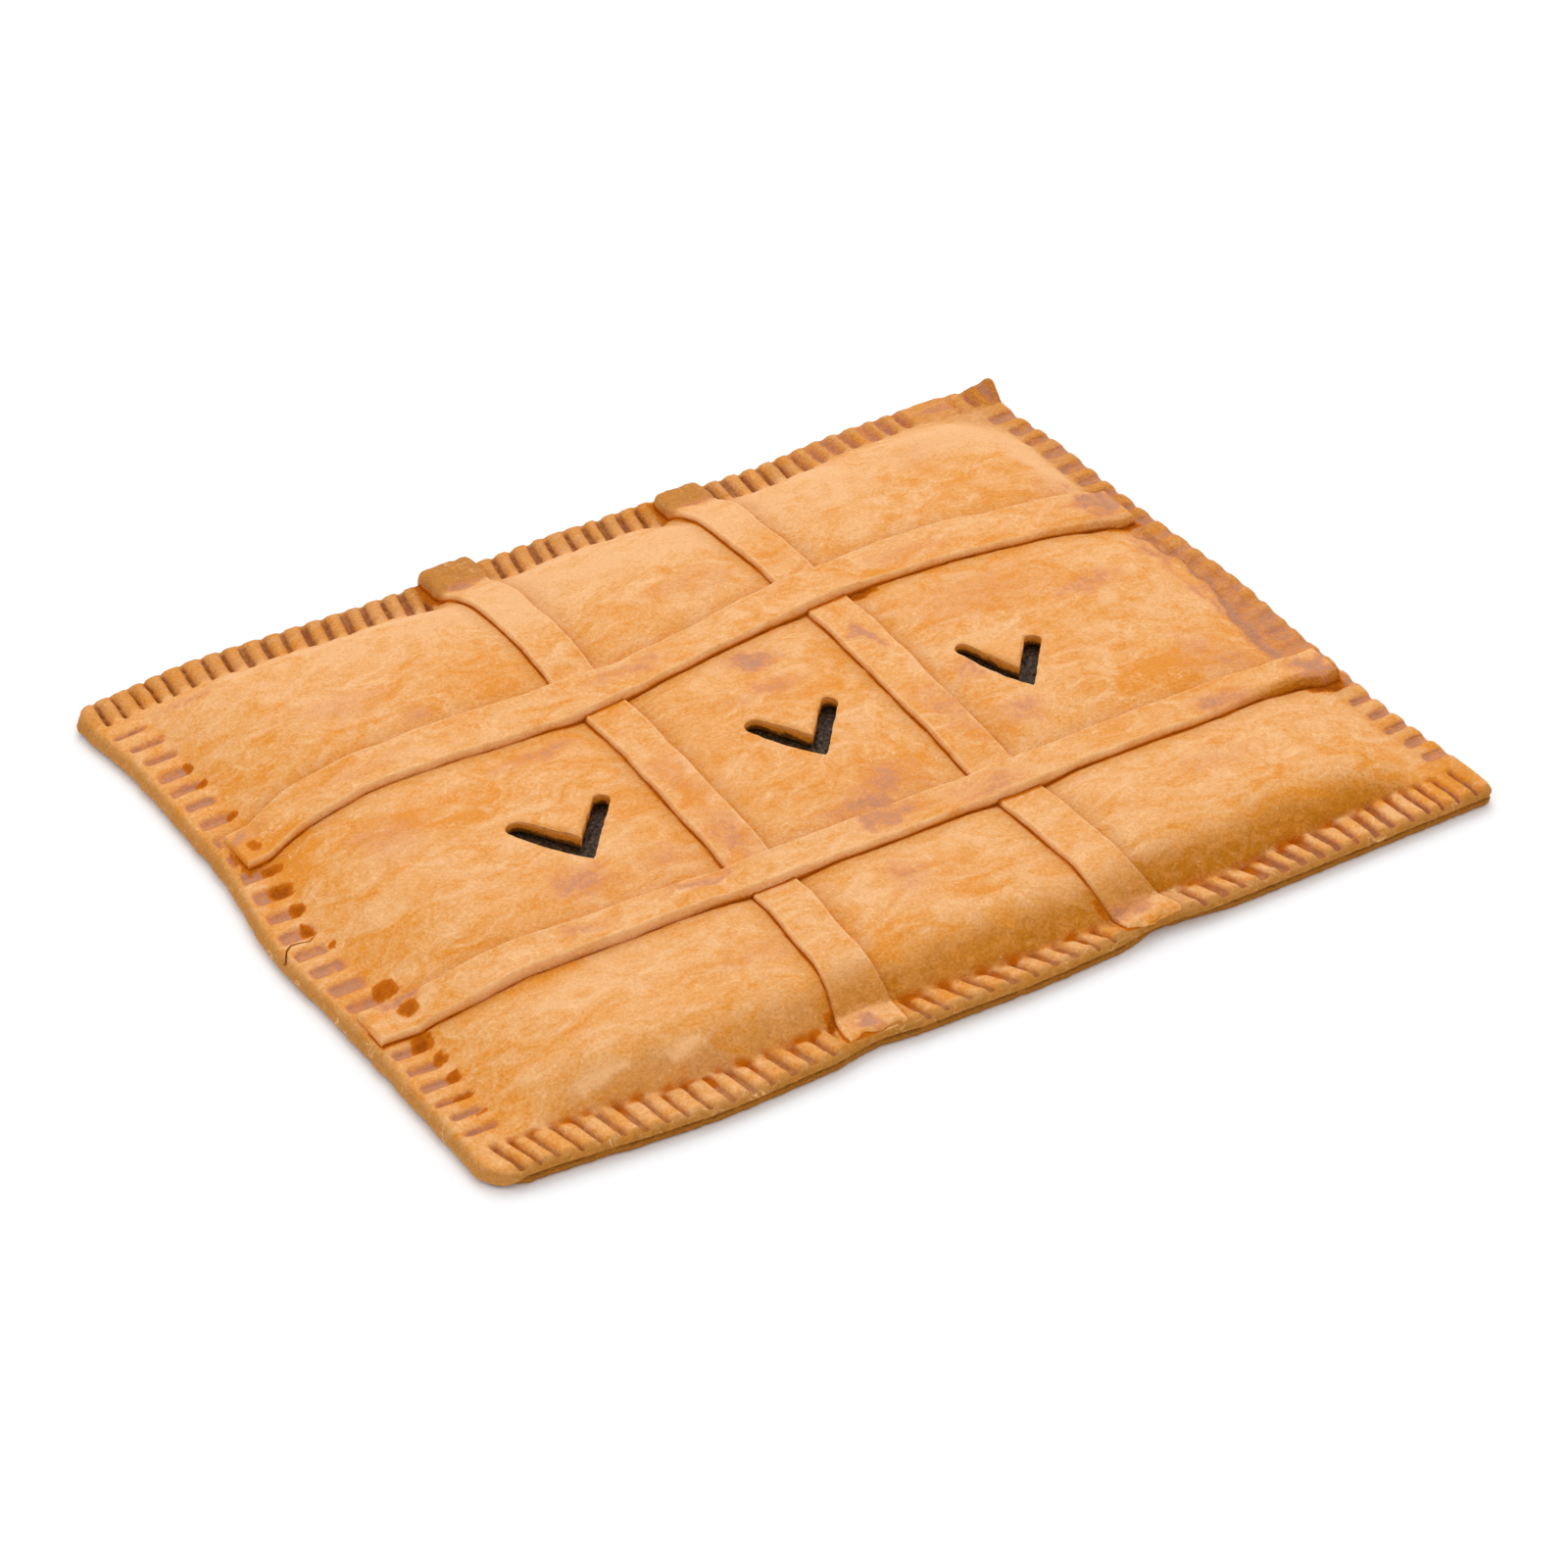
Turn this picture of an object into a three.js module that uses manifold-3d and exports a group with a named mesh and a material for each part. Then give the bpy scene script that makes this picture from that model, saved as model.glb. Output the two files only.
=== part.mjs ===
// A large rectangular empanada: a flat base sheet, a dark filling, a domed lid sheet with a crimped
// rim and three V-shaped vents, and four dough strips that lie over the lid as a lattice.
// Millimetres, +Z up, X along the long side. The origin is under the middle, on the resting face.
import * as THREE from 'three';
import { mergeVertices } from 'three/addons/utils/BufferGeometryUtils.js';
import Module from 'manifold-3d';

const wasm = await Module();
wasm.setup();

// Driving dimensions
const LENGTH = 384;
const WIDTH = 300;
const BASE_THICK = 3.4;
const LID_THICK = 3.4;
const GAP = 0.3;
const RIM_WIDTH = 16;
const RIM_TOP = 7.6;
const LIP_WIDTH = 5;
const LIP_DROP = 1.4;
const SHOULDER_LONG_EDGES = 26;
const SHOULDER_LEFT = 48;
const SHOULDER_RIGHT = 75;
const SHOULDER_ROUNDNESS = 2.2;
const PLATEAU = 18.4;
const CROWN = 1.6;
const FILLING_INSET = 24;
const BED_DEPTH = 1.2;
const BED_SLOPE = 16;
const HALF_L = LENGTH / 2;
const HALF_W = WIDTH / 2;
const SEAM = BASE_THICK + GAP;

// How far each edge draws in from the plain rectangle, as [place along the edge, millimetres]
const FRONT_WAVE = [[-192, 7], [-105, 0], [-45, 1.8], [8, 0], [65, 1.3], [115, 0.7], [192, 0.5]];
const BACK_WAVE = [[-192, 6.5], [-141, 2], [-75, 4], [10, 1.4], [85, 3.3], [125, 0.2], [165, 0], [192, 2.5]];
const LEFT_WAVE = [[-150, 3.5], [-85, 2.8], [-50, 1.9], [-14, 0], [50, 5.8], [100, 5.8], [150, 1.6]];
const RIGHT_WAVE = [[-150, 0], [-86, 2.6], [-45, 1.2], [-8, 0], [60, 3.1], [100, 3], [150, 6]];

// Corner radii, and the small upturned tip at the back right
const CORNER_FRONT_LEFT = 12;
const CORNER_BACK_LEFT = 8;
const CORNER_FRONT_RIGHT = 4;
const CORNER_BACK_RIGHT = 3;
const TIP_RISE = 3;
const TIP_REACH = 14;

// Grid lines: close together across the rim and the shoulder, then evenly spaced
const LID_LINES = { near: [0, 5, 16, 19, 24, 32, 42], step: 14 };
const FILLING_LINES = { near: [0, 6, 18], step: 24 };
const BASE_LINES = { near: [0, 4, 12], step: 32 };

// Crimps pressed into the rim: pitch along the long and the short edges, and the groove's own size
const LONG_EDGE_PITCH = 7.45;
const SHORT_EDGE_PITCH = 9.7;
const LONG_EDGE_GROOVE = 2.6;
const SHORT_EDGE_GROOVE = 4.6;
const CRIMP_DEPTH = 2.1;
const CRIMP_DRAFT = 0.7;
const CRIMP_INNER_END = 15;
const CRIMP_CORNER_MARGIN = 14;
const CRIMP_CLEAR_OF_STRIP = 2;
const CRIMP_LIP = 4; // grooves of the front and left edges stop short of the edge
const CRIMP_OPEN = -1; // grooves of the back and right edges run out through it

// Vents: apex, then each arm's turn from +Y in degrees, length and width
const VENT_END_SIDES = 5;
const VENTS = [
  { apex: [-88.7, -31.2], arms: [[32.6, 29, 7], [-41, 29.6, 6]] },
  { apex: [4.8, -24.5], arms: [[29.6, 28, 7], [-39.5, 28.3, 6]] },
  { apex: [84.6, -28.6], arms: [[18.2, 30.4, 5], [-39.9, 25.3, 6]] },
];

// Strips: the span along the lid, and centre line, width and thickness as [place, value]
const STRIP_CHAMFER = 0.9;
const STRIP_FLAT = 0.78; // share of the width between the chamfers
const STRIP_STEP = 9;
const STRIP_SINK = 1;
const CROSSING_REACH = 20;
const CROSSING_SQUASH = 1;
const CROSSING_RISE = 2.3;
const LONG_STRIPS = [
  {
    name: 'strip_long_back',
    span: [-180, 181],
    centre: [[-180, 40.5], [-100, 46.2], [-45, 44.5], [45, 53.8], [90, 56], [181, 51]],
    width: [[-180, 18.5], [-100, 17], [120, 17], [181, 20]],
    thick: [[-180, 3.2], [-150, 3.8], [150, 3.8], [181, 3.4]],
  },
  {
    name: 'strip_long_front',
    span: [-186.5, 185],
    centre: [[-187, -61.5], [-110, -70.5], [120, -70.5], [185, -65.5]],
    width: [[-187, 16.5], [-60, 15], [60, 15], [185, 16.5]],
    thick: [[-187, 3.2], [-150, 3.8], [150, 3.8], [185, 4]],
  },
];
const SHORT_STRIPS = [
  {
    name: 'strip_short_left',
    span: [-144, 146],
    centre: [[-144, -51.5], [-80, -46.5], [60, -43.5], [146, -44]],
    width: [[-144, 22], [-118, 17], [110, 17], [146, 18.5]],
    thick: [[-144, 1.2], [-120, 2.6], [-80, 3], [120, 3], [146, 5]],
  },
  {
    name: 'strip_short_right',
    span: [-144.5, 142],
    centre: [[-144.5, 53], [-80, 47.8], [60, 52.8], [142, 50.5]],
    width: [[-144.5, 22], [-118, 17], [110, 17], [142, 18.5]],
    thick: [[-144.5, 1.2], [-120, 2.6], [-80, 3], [142, 3]],
  },
];

const { smoothstep, clamp, degToRad } = THREE.MathUtils;

// A smooth curve through a few [place, value] pairs
function along(points, place) {
  let i = 0;
  while (i < points.length - 2 && place > points[i + 1][0]) {
    i += 1;
  }
  const [from, first] = points[i];
  const [to, last] = points[i + 1];
  return first + (last - first) * smoothstep(place, from, to);
}

// How far the wavy outline moves a point of the plain rectangle
function edgeShift(x, y) {
  const drawnX = x < 0 ? along(LEFT_WAVE, y) : along(RIGHT_WAVE, y);
  const drawnY = y < 0 ? along(FRONT_WAVE, x) : along(BACK_WAVE, x);
  return [(-drawnX * x) / HALF_L, (-drawnY * y) / HALF_W];
}

function cornerRadius(x, y) {
  if (x < 0) {
    return y < 0 ? CORNER_FRONT_LEFT : CORNER_BACK_LEFT;
  }
  return y < 0 ? CORNER_FRONT_RIGHT : CORNER_BACK_RIGHT;
}

// Maps the square patch at each corner of the rectangle to a quarter disc
function roundCorner(x, y) {
  const radius = cornerRadius(x, y);
  const u = (Math.abs(x) - HALF_L + radius) / radius;
  const v = (Math.abs(y) - HALF_W + radius) / radius;
  if (u <= 0 || v <= 0) {
    return [x, y];
  }
  const pulledX = HALF_L - radius + radius * u * Math.sqrt(1 - (v * v) / 2);
  const pulledY = HALF_W - radius + radius * v * Math.sqrt(1 - (u * u) / 2);
  return [Math.sign(x) * pulledX, Math.sign(y) * pulledY];
}

function outlined(x, y) {
  const [cornerX, cornerY] = roundCorner(x, y);
  const [shiftX, shiftY] = edgeShift(cornerX, cornerY);
  return [cornerX + shiftX, cornerY + shiftY];
}

// 0 at the rim's inner crease, 1 where the shoulder reaches the plateau
function shoulder(fromEdge, width) {
  const t = clamp((fromEdge - RIM_WIDTH) / width, 0, 1);
  return 1 - (1 - t) ** SHOULDER_ROUNDNESS;
}

// 1 under a strip, falling to 0 where the panels swell beside it
function bed(strip, place, across) {
  const off = Math.abs(across - along(strip.centre, place));
  const half = along(strip.width, place) / 2;
  return 1 - smoothstep(off, half, half + BED_SLOPE);
}

function lidTop(x, y) {
  const fromSide = HALF_L - Math.abs(x);
  const fromEnd = HALF_W - Math.abs(y);
  const fromEdge = Math.min(fromSide, fromEnd);
  const crown = PLATEAU + CROWN * (1 - (x / HALF_L) ** 2) * (1 - (y / HALF_W) ** 2);
  const longBeds = LONG_STRIPS.map((strip) => bed(strip, x, y));
  const shortBeds = SHORT_STRIPS.map((strip) => bed(strip, y, x));
  const sunk = BED_DEPTH * (Math.max(...longBeds) + Math.max(...shortBeds));
  const lip = LIP_DROP * (1 - smoothstep(fromEdge, 0, LIP_WIDTH));
  const toTip = Math.hypot(HALF_L - x, HALF_W - y);
  const tip = TIP_RISE * (1 - smoothstep(toTip, 0, TIP_REACH));
  const endShoulder = shoulder(fromSide, x < 0 ? SHOULDER_LEFT : SHOULDER_RIGHT);
  const sideShoulder = shoulder(fromEnd, SHOULDER_LONG_EDGES);
  return RIM_TOP - lip + tip + (crown - sunk - RIM_TOP) * endShoulder * sideShoulder;
}

// Height of the lid over a point of the finished outline
function lidHeight(x, y) {
  const [shiftX, shiftY] = edgeShift(x, y);
  return lidTop(x - shiftX, y - shiftY);
}

function gridLines(half, { near, step }) {
  const inner = half - near.at(-1);
  const count = Math.round((2 * inner) / step);
  const middle = Array.from({ length: count - 1 }, (_, i) => -inner + (2 * inner * (i + 1)) / count);
  return [...near.map((d) => d - half), ...middle, ...near.toReversed().map((d) => half - d)];
}

// A box split along two sets of grid lines; place(x, y, isTop) says where each of its points goes
function shapedBox(xs, ys, place) {
  const columns = xs.length - 1;
  const rows = ys.length - 1;
  const box = new THREE.BoxGeometry(columns, rows, 1, columns, rows, 1);
  const points = box.attributes.position;
  for (let i = 0; i < points.count; i += 1) {
    const x = xs[Math.round(points.getX(i) + columns / 2)];
    const y = ys[Math.round(points.getY(i) + rows / 2)];
    points.setXYZ(i, ...place(x, y, points.getZ(i) > 0));
  }
  return solid(box);
}

function solid(geometry) {
  const bare = geometry.clone();
  bare.deleteAttribute('normal');
  bare.deleteAttribute('uv');
  const merged = mergeVertices(bare);
  return new wasm.Manifold(new wasm.Mesh({
    numProp: 3,
    vertProperties: new Float32Array(merged.attributes.position.array),
    triVerts: new Uint32Array(merged.index.array),
  }));
}

// A layer of the empanada that keeps inside the outline, between two height functions
function layer(lines, inset, bottom, top) {
  const xs = gridLines(HALF_L - inset, lines);
  const ys = gridLines(HALF_W - inset, lines);
  return shapedBox(xs, ys, (x, y, isTop) => [...outlined(x, y), isTop ? top(x, y) : bottom]);
}

// Crimp grooves: one drafted prism for each press of the fork, running in across the rim
function crimp(width, start) {
  const half = width / 2;
  const floor = RIM_TOP - CRIMP_DEPTH;
  const above = TIP_RISE + CRIMP_DEPTH;
  const section = new THREE.Shape();
  section.moveTo(-half + CRIMP_DRAFT / 2, floor);
  section.lineTo(half - CRIMP_DRAFT / 2, floor);
  section.lineTo(half + CRIMP_DRAFT, floor + above);
  section.lineTo(-half - CRIMP_DRAFT, floor + above);
  return new THREE.ExtrudeGeometry(section, { depth: CRIMP_INNER_END - start, bevelEnabled: false });
}

function underStripEnd(strips, place, across) {
  return strips.some((strip) => {
    const off = Math.abs(across - along(strip.centre, place));
    return off < along(strip.width, place) / 2 + CRIMP_CLEAR_OF_STRIP;
  });
}

// The crimps of one edge; inward points from that edge to the middle, and covered says where a strip lies
function crimpRow(inward, half, reach, pitch, width, start, covered) {
  const up = new THREE.Vector3(0, 0, 1);
  const tangent = new THREE.Vector3().crossVectors(up, inward);
  const count = Math.round((2 * (half - CRIMP_CORNER_MARGIN)) / pitch);
  const cutters = [];
  for (let i = 0; i <= count; i += 1) {
    const place = (i - count / 2) * pitch;
    const edge = inward.clone().multiplyScalar(start - reach).addScaledVector(tangent, place);
    const [x, y] = outlined(edge.x, edge.y);
    if (!covered(x, y)) {
      const turn = new THREE.Matrix4().makeBasis(tangent, up, inward).setPosition(x, y, 0);
      cutters.push(solid(crimp(width, start).applyMatrix4(turn)));
    }
  }
  return cutters;
}

function crimps() {
  const right = new THREE.Vector3(1, 0, 0);
  const back = new THREE.Vector3(0, 1, 0);
  const left = right.clone().negate();
  const front = back.clone().negate();
  const shortEnd = (x, y) => underStripEnd(SHORT_STRIPS, y, x);
  const longEnd = (x, y) => underStripEnd(LONG_STRIPS, x, y);
  return [
    ...crimpRow(back, HALF_L, HALF_W, LONG_EDGE_PITCH, LONG_EDGE_GROOVE, CRIMP_LIP, shortEnd),
    ...crimpRow(front, HALF_L, HALF_W, LONG_EDGE_PITCH, LONG_EDGE_GROOVE, CRIMP_OPEN, shortEnd),
    ...crimpRow(right, HALF_W, HALF_L, SHORT_EDGE_PITCH, SHORT_EDGE_GROOVE, CRIMP_LIP, longEnd),
    ...crimpRow(left, HALF_W, HALF_L, SHORT_EDGE_PITCH, SHORT_EDGE_GROOVE, CRIMP_OPEN, longEnd),
  ];
}

// One arm of a vent: a slot with round ends that cuts down through the lid
function ventArm([apexX, apexY], [turn, length, width]) {
  const radius = width / 2;
  const slot = new THREE.Shape();
  slot.absarc(0, 0, radius, Math.PI, 2 * Math.PI);
  slot.absarc(0, length - radius, radius, 0, Math.PI);
  const sweep = { depth: 2 * PLATEAU, bevelEnabled: false, curveSegments: VENT_END_SIDES };
  const cutter = new THREE.ExtrudeGeometry(slot, sweep);
  cutter.rotateZ(degToRad(turn));
  cutter.translate(apexX, apexY, SEAM);
  return solid(cutter);
}

// A strip over the lid: flat below, with chamfered long edges; grow widens and thickens it all round
function stripBody(strip, isLong, rise, squash, grow) {
  const [from, to] = strip.span;
  const count = Math.round((to - from) / STRIP_STEP);
  const places = Array.from({ length: count + 1 }, (_, i) => from + ((to - from) * i) / count);
  const offsets = [-1, -STRIP_FLAT, STRIP_FLAT, 1];
  return shapedBox(isLong ? places : offsets, isLong ? offsets : places, (x, y, isTop) => {
    const place = isLong ? x : y;
    const offset = isLong ? y : x;
    const across = along(strip.centre, place) + offset * (along(strip.width, place) / 2 + grow);
    const [px, py] = isLong ? [place, across] : [across, place];
    const edge = Math.abs(offset) === 1 ? STRIP_CHAMFER : 0;
    const thick = along(strip.thick, place) + rise(px) - squash(py) - edge + grow;
    return [px, py, lidHeight(px, py) + (isTop ? thick : -STRIP_SINK)];
  });
}

// 1 where a strip crosses another set of strips, 0 away from the crossings
function crossing(strips, place) {
  const nearest = Math.min(...strips.map((strip) => Math.abs(place - along(strip.centre, 0))));
  return 1 - smoothstep(nearest, CROSSING_REACH / 3, CROSSING_REACH);
}

const none = () => 0;
const overShort = (x) => CROSSING_RISE * crossing(SHORT_STRIPS, x);
const underLong = (y) => CROSSING_SQUASH * crossing(LONG_STRIPS, y);

const CRUST_ROUGHNESS = 0.5;
const LID_COLOUR = '#d49a5c';
const STRIP_COLOUR = '#cf9455';
const BASE_COLOUR = '#b98650';
const BASE_ROUGHNESS = 0.7;
const FILLING_COLOUR = '#1d1713';
const FILLING_ROUGHNESS = 0.6;

function finish(name, body, color, roughness) {
  const { vertProperties, triVerts } = body.getMesh();
  const geometry = new THREE.BufferGeometry();
  geometry.setAttribute('position', new THREE.BufferAttribute(vertProperties, 3));
  geometry.setIndex(new THREE.BufferAttribute(triVerts, 1));
  geometry.computeVertexNormals();
  const material = new THREE.MeshStandardMaterial({ color, roughness, metalness: 0 });
  const mesh = new THREE.Mesh(geometry, material);
  mesh.name = name;
  return mesh;
}

const lidBlock = (lift) => layer(LID_LINES, 0, SEAM, (x, y) => lidTop(x, y) + lift);
const fillingBlock = (grow, bottom) => layer(
  FILLING_LINES,
  FILLING_INSET - grow,
  bottom,
  (x, y) => lidTop(x, y) - LID_THICK - GAP + grow,
);

const base = layer(BASE_LINES, 0, 0, () => BASE_THICK);
const filling = fillingBlock(0, SEAM);
const vents = VENTS.flatMap(({ apex, arms }) => arms.map((arm) => ventArm(apex, arm)));
const lid = wasm.Manifold.difference([lidBlock(0), fillingBlock(GAP, 0), ...crimps(), ...vents]);
const liftedLid = lidBlock(GAP);

const empanada = new THREE.Group();
empanada.add(finish('base_sheet', base, BASE_COLOUR, BASE_ROUGHNESS));
empanada.add(finish('filling', filling, FILLING_COLOUR, FILLING_ROUGHNESS));
empanada.add(finish('lid_sheet', lid, LID_COLOUR, CRUST_ROUGHNESS));
for (const strip of SHORT_STRIPS) {
  const body = stripBody(strip, false, none, underLong, 0).subtract(liftedLid);
  empanada.add(finish(strip.name, body, STRIP_COLOUR, CRUST_ROUGHNESS));
}
const liftedShort = SHORT_STRIPS.map((strip) => stripBody(strip, false, none, underLong, GAP));
for (const strip of LONG_STRIPS) {
  const whole = stripBody(strip, true, overShort, none, 0);
  const body = wasm.Manifold.difference([whole, liftedLid, ...liftedShort]);
  empanada.add(finish(strip.name, body, STRIP_COLOUR, CRUST_ROUGHNESS));
}

export default empanada;
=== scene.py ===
"""A large rectangular empanada with a crimped rim, a lattice of four dough strips and three vents."""

import math

import bpy
import numpy as np
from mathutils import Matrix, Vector


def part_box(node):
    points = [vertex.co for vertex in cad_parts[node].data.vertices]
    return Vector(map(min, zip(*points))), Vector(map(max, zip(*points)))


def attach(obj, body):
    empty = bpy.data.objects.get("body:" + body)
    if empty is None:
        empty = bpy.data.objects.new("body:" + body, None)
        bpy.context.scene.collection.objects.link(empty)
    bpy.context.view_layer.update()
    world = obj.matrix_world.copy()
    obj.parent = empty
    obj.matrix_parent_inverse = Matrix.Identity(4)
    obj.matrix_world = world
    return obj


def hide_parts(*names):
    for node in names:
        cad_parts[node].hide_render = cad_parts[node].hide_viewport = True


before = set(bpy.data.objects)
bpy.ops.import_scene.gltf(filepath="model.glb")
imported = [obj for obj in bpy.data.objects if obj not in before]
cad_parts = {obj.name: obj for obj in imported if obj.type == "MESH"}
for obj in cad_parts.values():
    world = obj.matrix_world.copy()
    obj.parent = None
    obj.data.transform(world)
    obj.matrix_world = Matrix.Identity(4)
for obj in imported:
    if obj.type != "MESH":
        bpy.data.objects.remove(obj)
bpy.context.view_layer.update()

# The dough is shaped in millimetres, and MM turns them into metres.
MM = 0.001
base_low, base_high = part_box("base_sheet")
HALF_L = (base_high.x - base_low.x) / 2 / MM
HALF_W = (base_high.y - base_low.y) / 2 / MM
BASE_THICK = base_high.z / MM
LID_THICK = 3.4
GAP = 0.3
SEAM = BASE_THICK + GAP
RIM_WIDTH = 16
RIM_TOP = 7.6
LIP_WIDTH = 5
LIP_DROP = 1.4
SHOULDER_LONG_EDGES = 26
SHOULDER_LEFT = 48
SHOULDER_RIGHT = 75
SHOULDER_ROUNDNESS = 2.2
PLATEAU = 18.4
CROWN = 1.6
FILLING_INSET = 24
BED_DEPTH = 1.2
BED_SLOPE = 16

# How far each edge draws in from the plain rectangle, as (place along the edge, millimetres)
FRONT_WAVE = ((-192, 7), (-105, 0), (-74, 0.7), (-52, 3.2), (-32, 1.3), (8, 0), (36, 0.7), (56, 3),
              (78, 1), (115, 0.7), (192, 0.5))
BACK_WAVE = ((-192, 6.5), (-141, 2), (-75, 4), (10, 1.4), (85, 3.3), (125, 0.2), (165, 0), (192, 2.5))
LEFT_WAVE = ((-150, 3.5), (-85, 2.8), (-50, 1.9), (-14, 0), (50, 5.8), (100, 5.8), (150, 1.6))
RIGHT_WAVE = ((-150, 0), (-86, 2.6), (-45, 1.2), (-8, 0), (60, 3.1), (100, 3.4), (134, 6), (150, 2.5))
CORNER_FRONT_LEFT = 12
CORNER_BACK_LEFT = 8
CORNER_FRONT_RIGHT = 4
CORNER_BACK_RIGHT = 3
TIP_RISE = 3
TIP_REACH = 14

# Vents: apex, then each arm's turn from +Y in degrees, length and width
VENTS = (
    {"apex": (-89.4, -31.8), "arms": ((32.6, 29.6, 7.8), (-40.4, 29.6, 6))},
    {"apex": (4, -25.6), "arms": ((29.6, 28.2, 7.4), (-39.5, 28.3, 6))},
    {"apex": (84.4, -29.6), "arms": ((18.2, 30.4, 5.2), (-39.9, 25.3, 6))},
)

# Strips: the span along the lid, and centre line, width and thickness as (place, value). Flank toast is how
# brown the near side gets towards the right end.
CROSSING_REACH = 20
CROSSING_SQUASH = 0.4
CROSSING_RISE = 1.6
LONG_STRIPS = (
    {
        "name": "strip_long_back",
        "span": (-180, 181),
        "centre": ((-180, 41.3), (-150, 46), (-122, 47.3), (-50, 44.1), (72, 57.1), (181, 51.8)),
        "width": ((-180, 18.5), (-150, 19.1), (-125, 18.5), (-95, 20.8), (-58, 20.6), (-28, 17.2),
                  (8, 16.4), (35, 18.2), (62, 17.2), (85, 19.8), (112, 21.4), (150, 19.6), (181, 20)),
        "thick": ((-180, 3.2), (-150, 3.8), (-60, 3.8), (0, 4.4), (60, 4.4), (100, 3.8), (140, 3.8),
                  (181, 5)),
        "flank_toast": 0.3,
    },
    {
        "name": "strip_long_front",
        "span": (-186.5, 185),
        "centre": ((-187, -61.5), (-150, -66), (-90, -68.5), (-50, -69.9), (40, -70.7), (110, -70.1),
                   (185, -65.5)),
        "width": ((-187, 16.5), (-150, 16), (-115, 14), (-60, 14.2), (10, 15), (70, 15), (185, 16.5)),
        "thick": ((-187, 3.2), (-150, 5.8), (-80, 5.4), (-30, 4), (150, 3.8), (185, 6.5)),
        "flank_toast": 1,
    },
)
SHORT_STRIPS = (
    {
        "name": "strip_short_left",
        "span": (-145.5, 147.5),
        "centre": ((-145.5, -51.3), (-115, -49), (-80, -46.5), (40, -43.6), (90, -41.8), (146, -44)),
        "width": ((-145.5, 22), (-118, 17), (110, 17), (128, 18), (135, 22), (146, 22)),
        "thick": ((-145.5, 0.9), (-126, 2.4), (-80, 3), (120, 3), (146, 5.5)),
        "flank_toast": 0,
    },
    {
        "name": "strip_short_right",
        "span": (-146.5, 145),
        "centre": ((-146.5, 54.6), (-125, 49.4), (-80, 48.3), (60, 53), (112, 51), (142, 50.5)),
        "width": ((-146.5, 22), (-118, 17.6), (110, 17), (128, 17.5), (134, 20), (142, 20)),
        "thick": ((-146.5, 0.9), (-126, 2.4), (-80, 3), (120, 3), (142, 5)),
        "flank_toast": 0,
    },
)


def smooth(value, low, high):
    """Rises gently from 0 at low to 1 at high."""
    t = np.clip((value - low) / (high - low), 0, 1)
    return t * t * (3 - 2 * t)


def fall(value, low, high):
    """Falls gently from 1 at low to 0 at high."""
    return 1 - smooth(value, low, high)


def span_share(place, span, fade):
    """1 inside a span, falling to 0 over a distance past its ends."""
    return smooth(place, span[0] - fade, span[0]) * fall(place, span[1], span[1] + fade)


def chance(i, j, seed):
    """A steady random number from 0 to 1 for each whole-numbered place."""
    mixed = np.asarray(i).astype(np.int64) * 374761393
    mixed = mixed + np.asarray(j).astype(np.int64) * 668265263 + seed * 1442695041
    mixed = ((mixed ^ (mixed >> 13)) * 1274126177) & 0xFFFFFFFF
    return ((mixed ^ (mixed >> 16)) & 0xFFFFFF) / 0xFFFFFF


def noise(x, y, seed):
    """Gradient noise from about -1 to 1, with lumps about one unit across."""
    cell_x, cell_y = np.floor(x), np.floor(y)
    u, v = x - cell_x, y - cell_y

    def corner(i, j):
        turn = chance(cell_x + i, cell_y + j, seed) * math.tau
        return np.cos(turn) * (u - i) + np.sin(turn) * (v - j)

    fade_u = u * u * u * (u * (u * 6 - 15) + 10)
    fade_v = v * v * v * (v * (v * 6 - 15) + 10)
    near = corner(0, 0) * (1 - fade_u) + corner(1, 0) * fade_u
    far = corner(0, 1) * (1 - fade_u) + corner(1, 1) * fade_u
    return 1.5 * (near * (1 - fade_v) + far * fade_v)


def wave(place, seed):
    """Noise along a line."""
    return noise(place, 0 * place, seed)


def along(points, place):
    """A smooth curve through a few (place, value) pairs."""
    places, values = np.array(points, float).T
    place = np.clip(place, places[0], places[-1])
    step = np.clip(np.searchsorted(places, place) - 1, 0, len(places) - 2)
    share = smooth(place, places[step], places[step + 1])
    return values[step] + (values[step + 1] - values[step]) * share


def edge_shift(x, y):
    """How far the wavy outline moves a point of the plain rectangle."""
    drawn_x = np.where(x < 0, along(LEFT_WAVE, y), along(RIGHT_WAVE, y))
    drawn_y = np.where(y < 0, along(FRONT_WAVE, x), along(BACK_WAVE, x))
    return -drawn_x * x / HALF_L, -drawn_y * y / HALF_W


def round_corner(x, y):
    """Maps the square patch at each corner of the rectangle to a quarter disc."""
    left = np.where(y < 0, CORNER_FRONT_LEFT, CORNER_BACK_LEFT)
    right = np.where(y < 0, CORNER_FRONT_RIGHT, CORNER_BACK_RIGHT)
    radius = np.where(x < 0, left, right)
    u = np.clip((np.abs(x) - HALF_L + radius) / radius, 0, 1)
    v = np.clip((np.abs(y) - HALF_W + radius) / radius, 0, 1)
    pulled_x = np.sign(x) * (HALF_L - radius + radius * u * np.sqrt(1 - v * v / 2))
    pulled_y = np.sign(y) * (HALF_W - radius + radius * v * np.sqrt(1 - u * u / 2))
    inside = (u > 0) & (v > 0)
    return np.where(inside, pulled_x, x), np.where(inside, pulled_y, y)


def outlined(x, y):
    corner_x, corner_y = round_corner(x, y)
    shift_x, shift_y = edge_shift(corner_x, corner_y)
    return corner_x + shift_x, corner_y + shift_y


def nominal(x, y):
    """The point of the plain rectangle that the wavy outline moves to x, y."""
    flat_x, flat_y = x, y
    for _ in range(5):
        moved_x, moved_y = outlined(flat_x, flat_y)
        flat_x, flat_y = flat_x + x - moved_x, flat_y + y - moved_y
    return flat_x, flat_y


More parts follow.
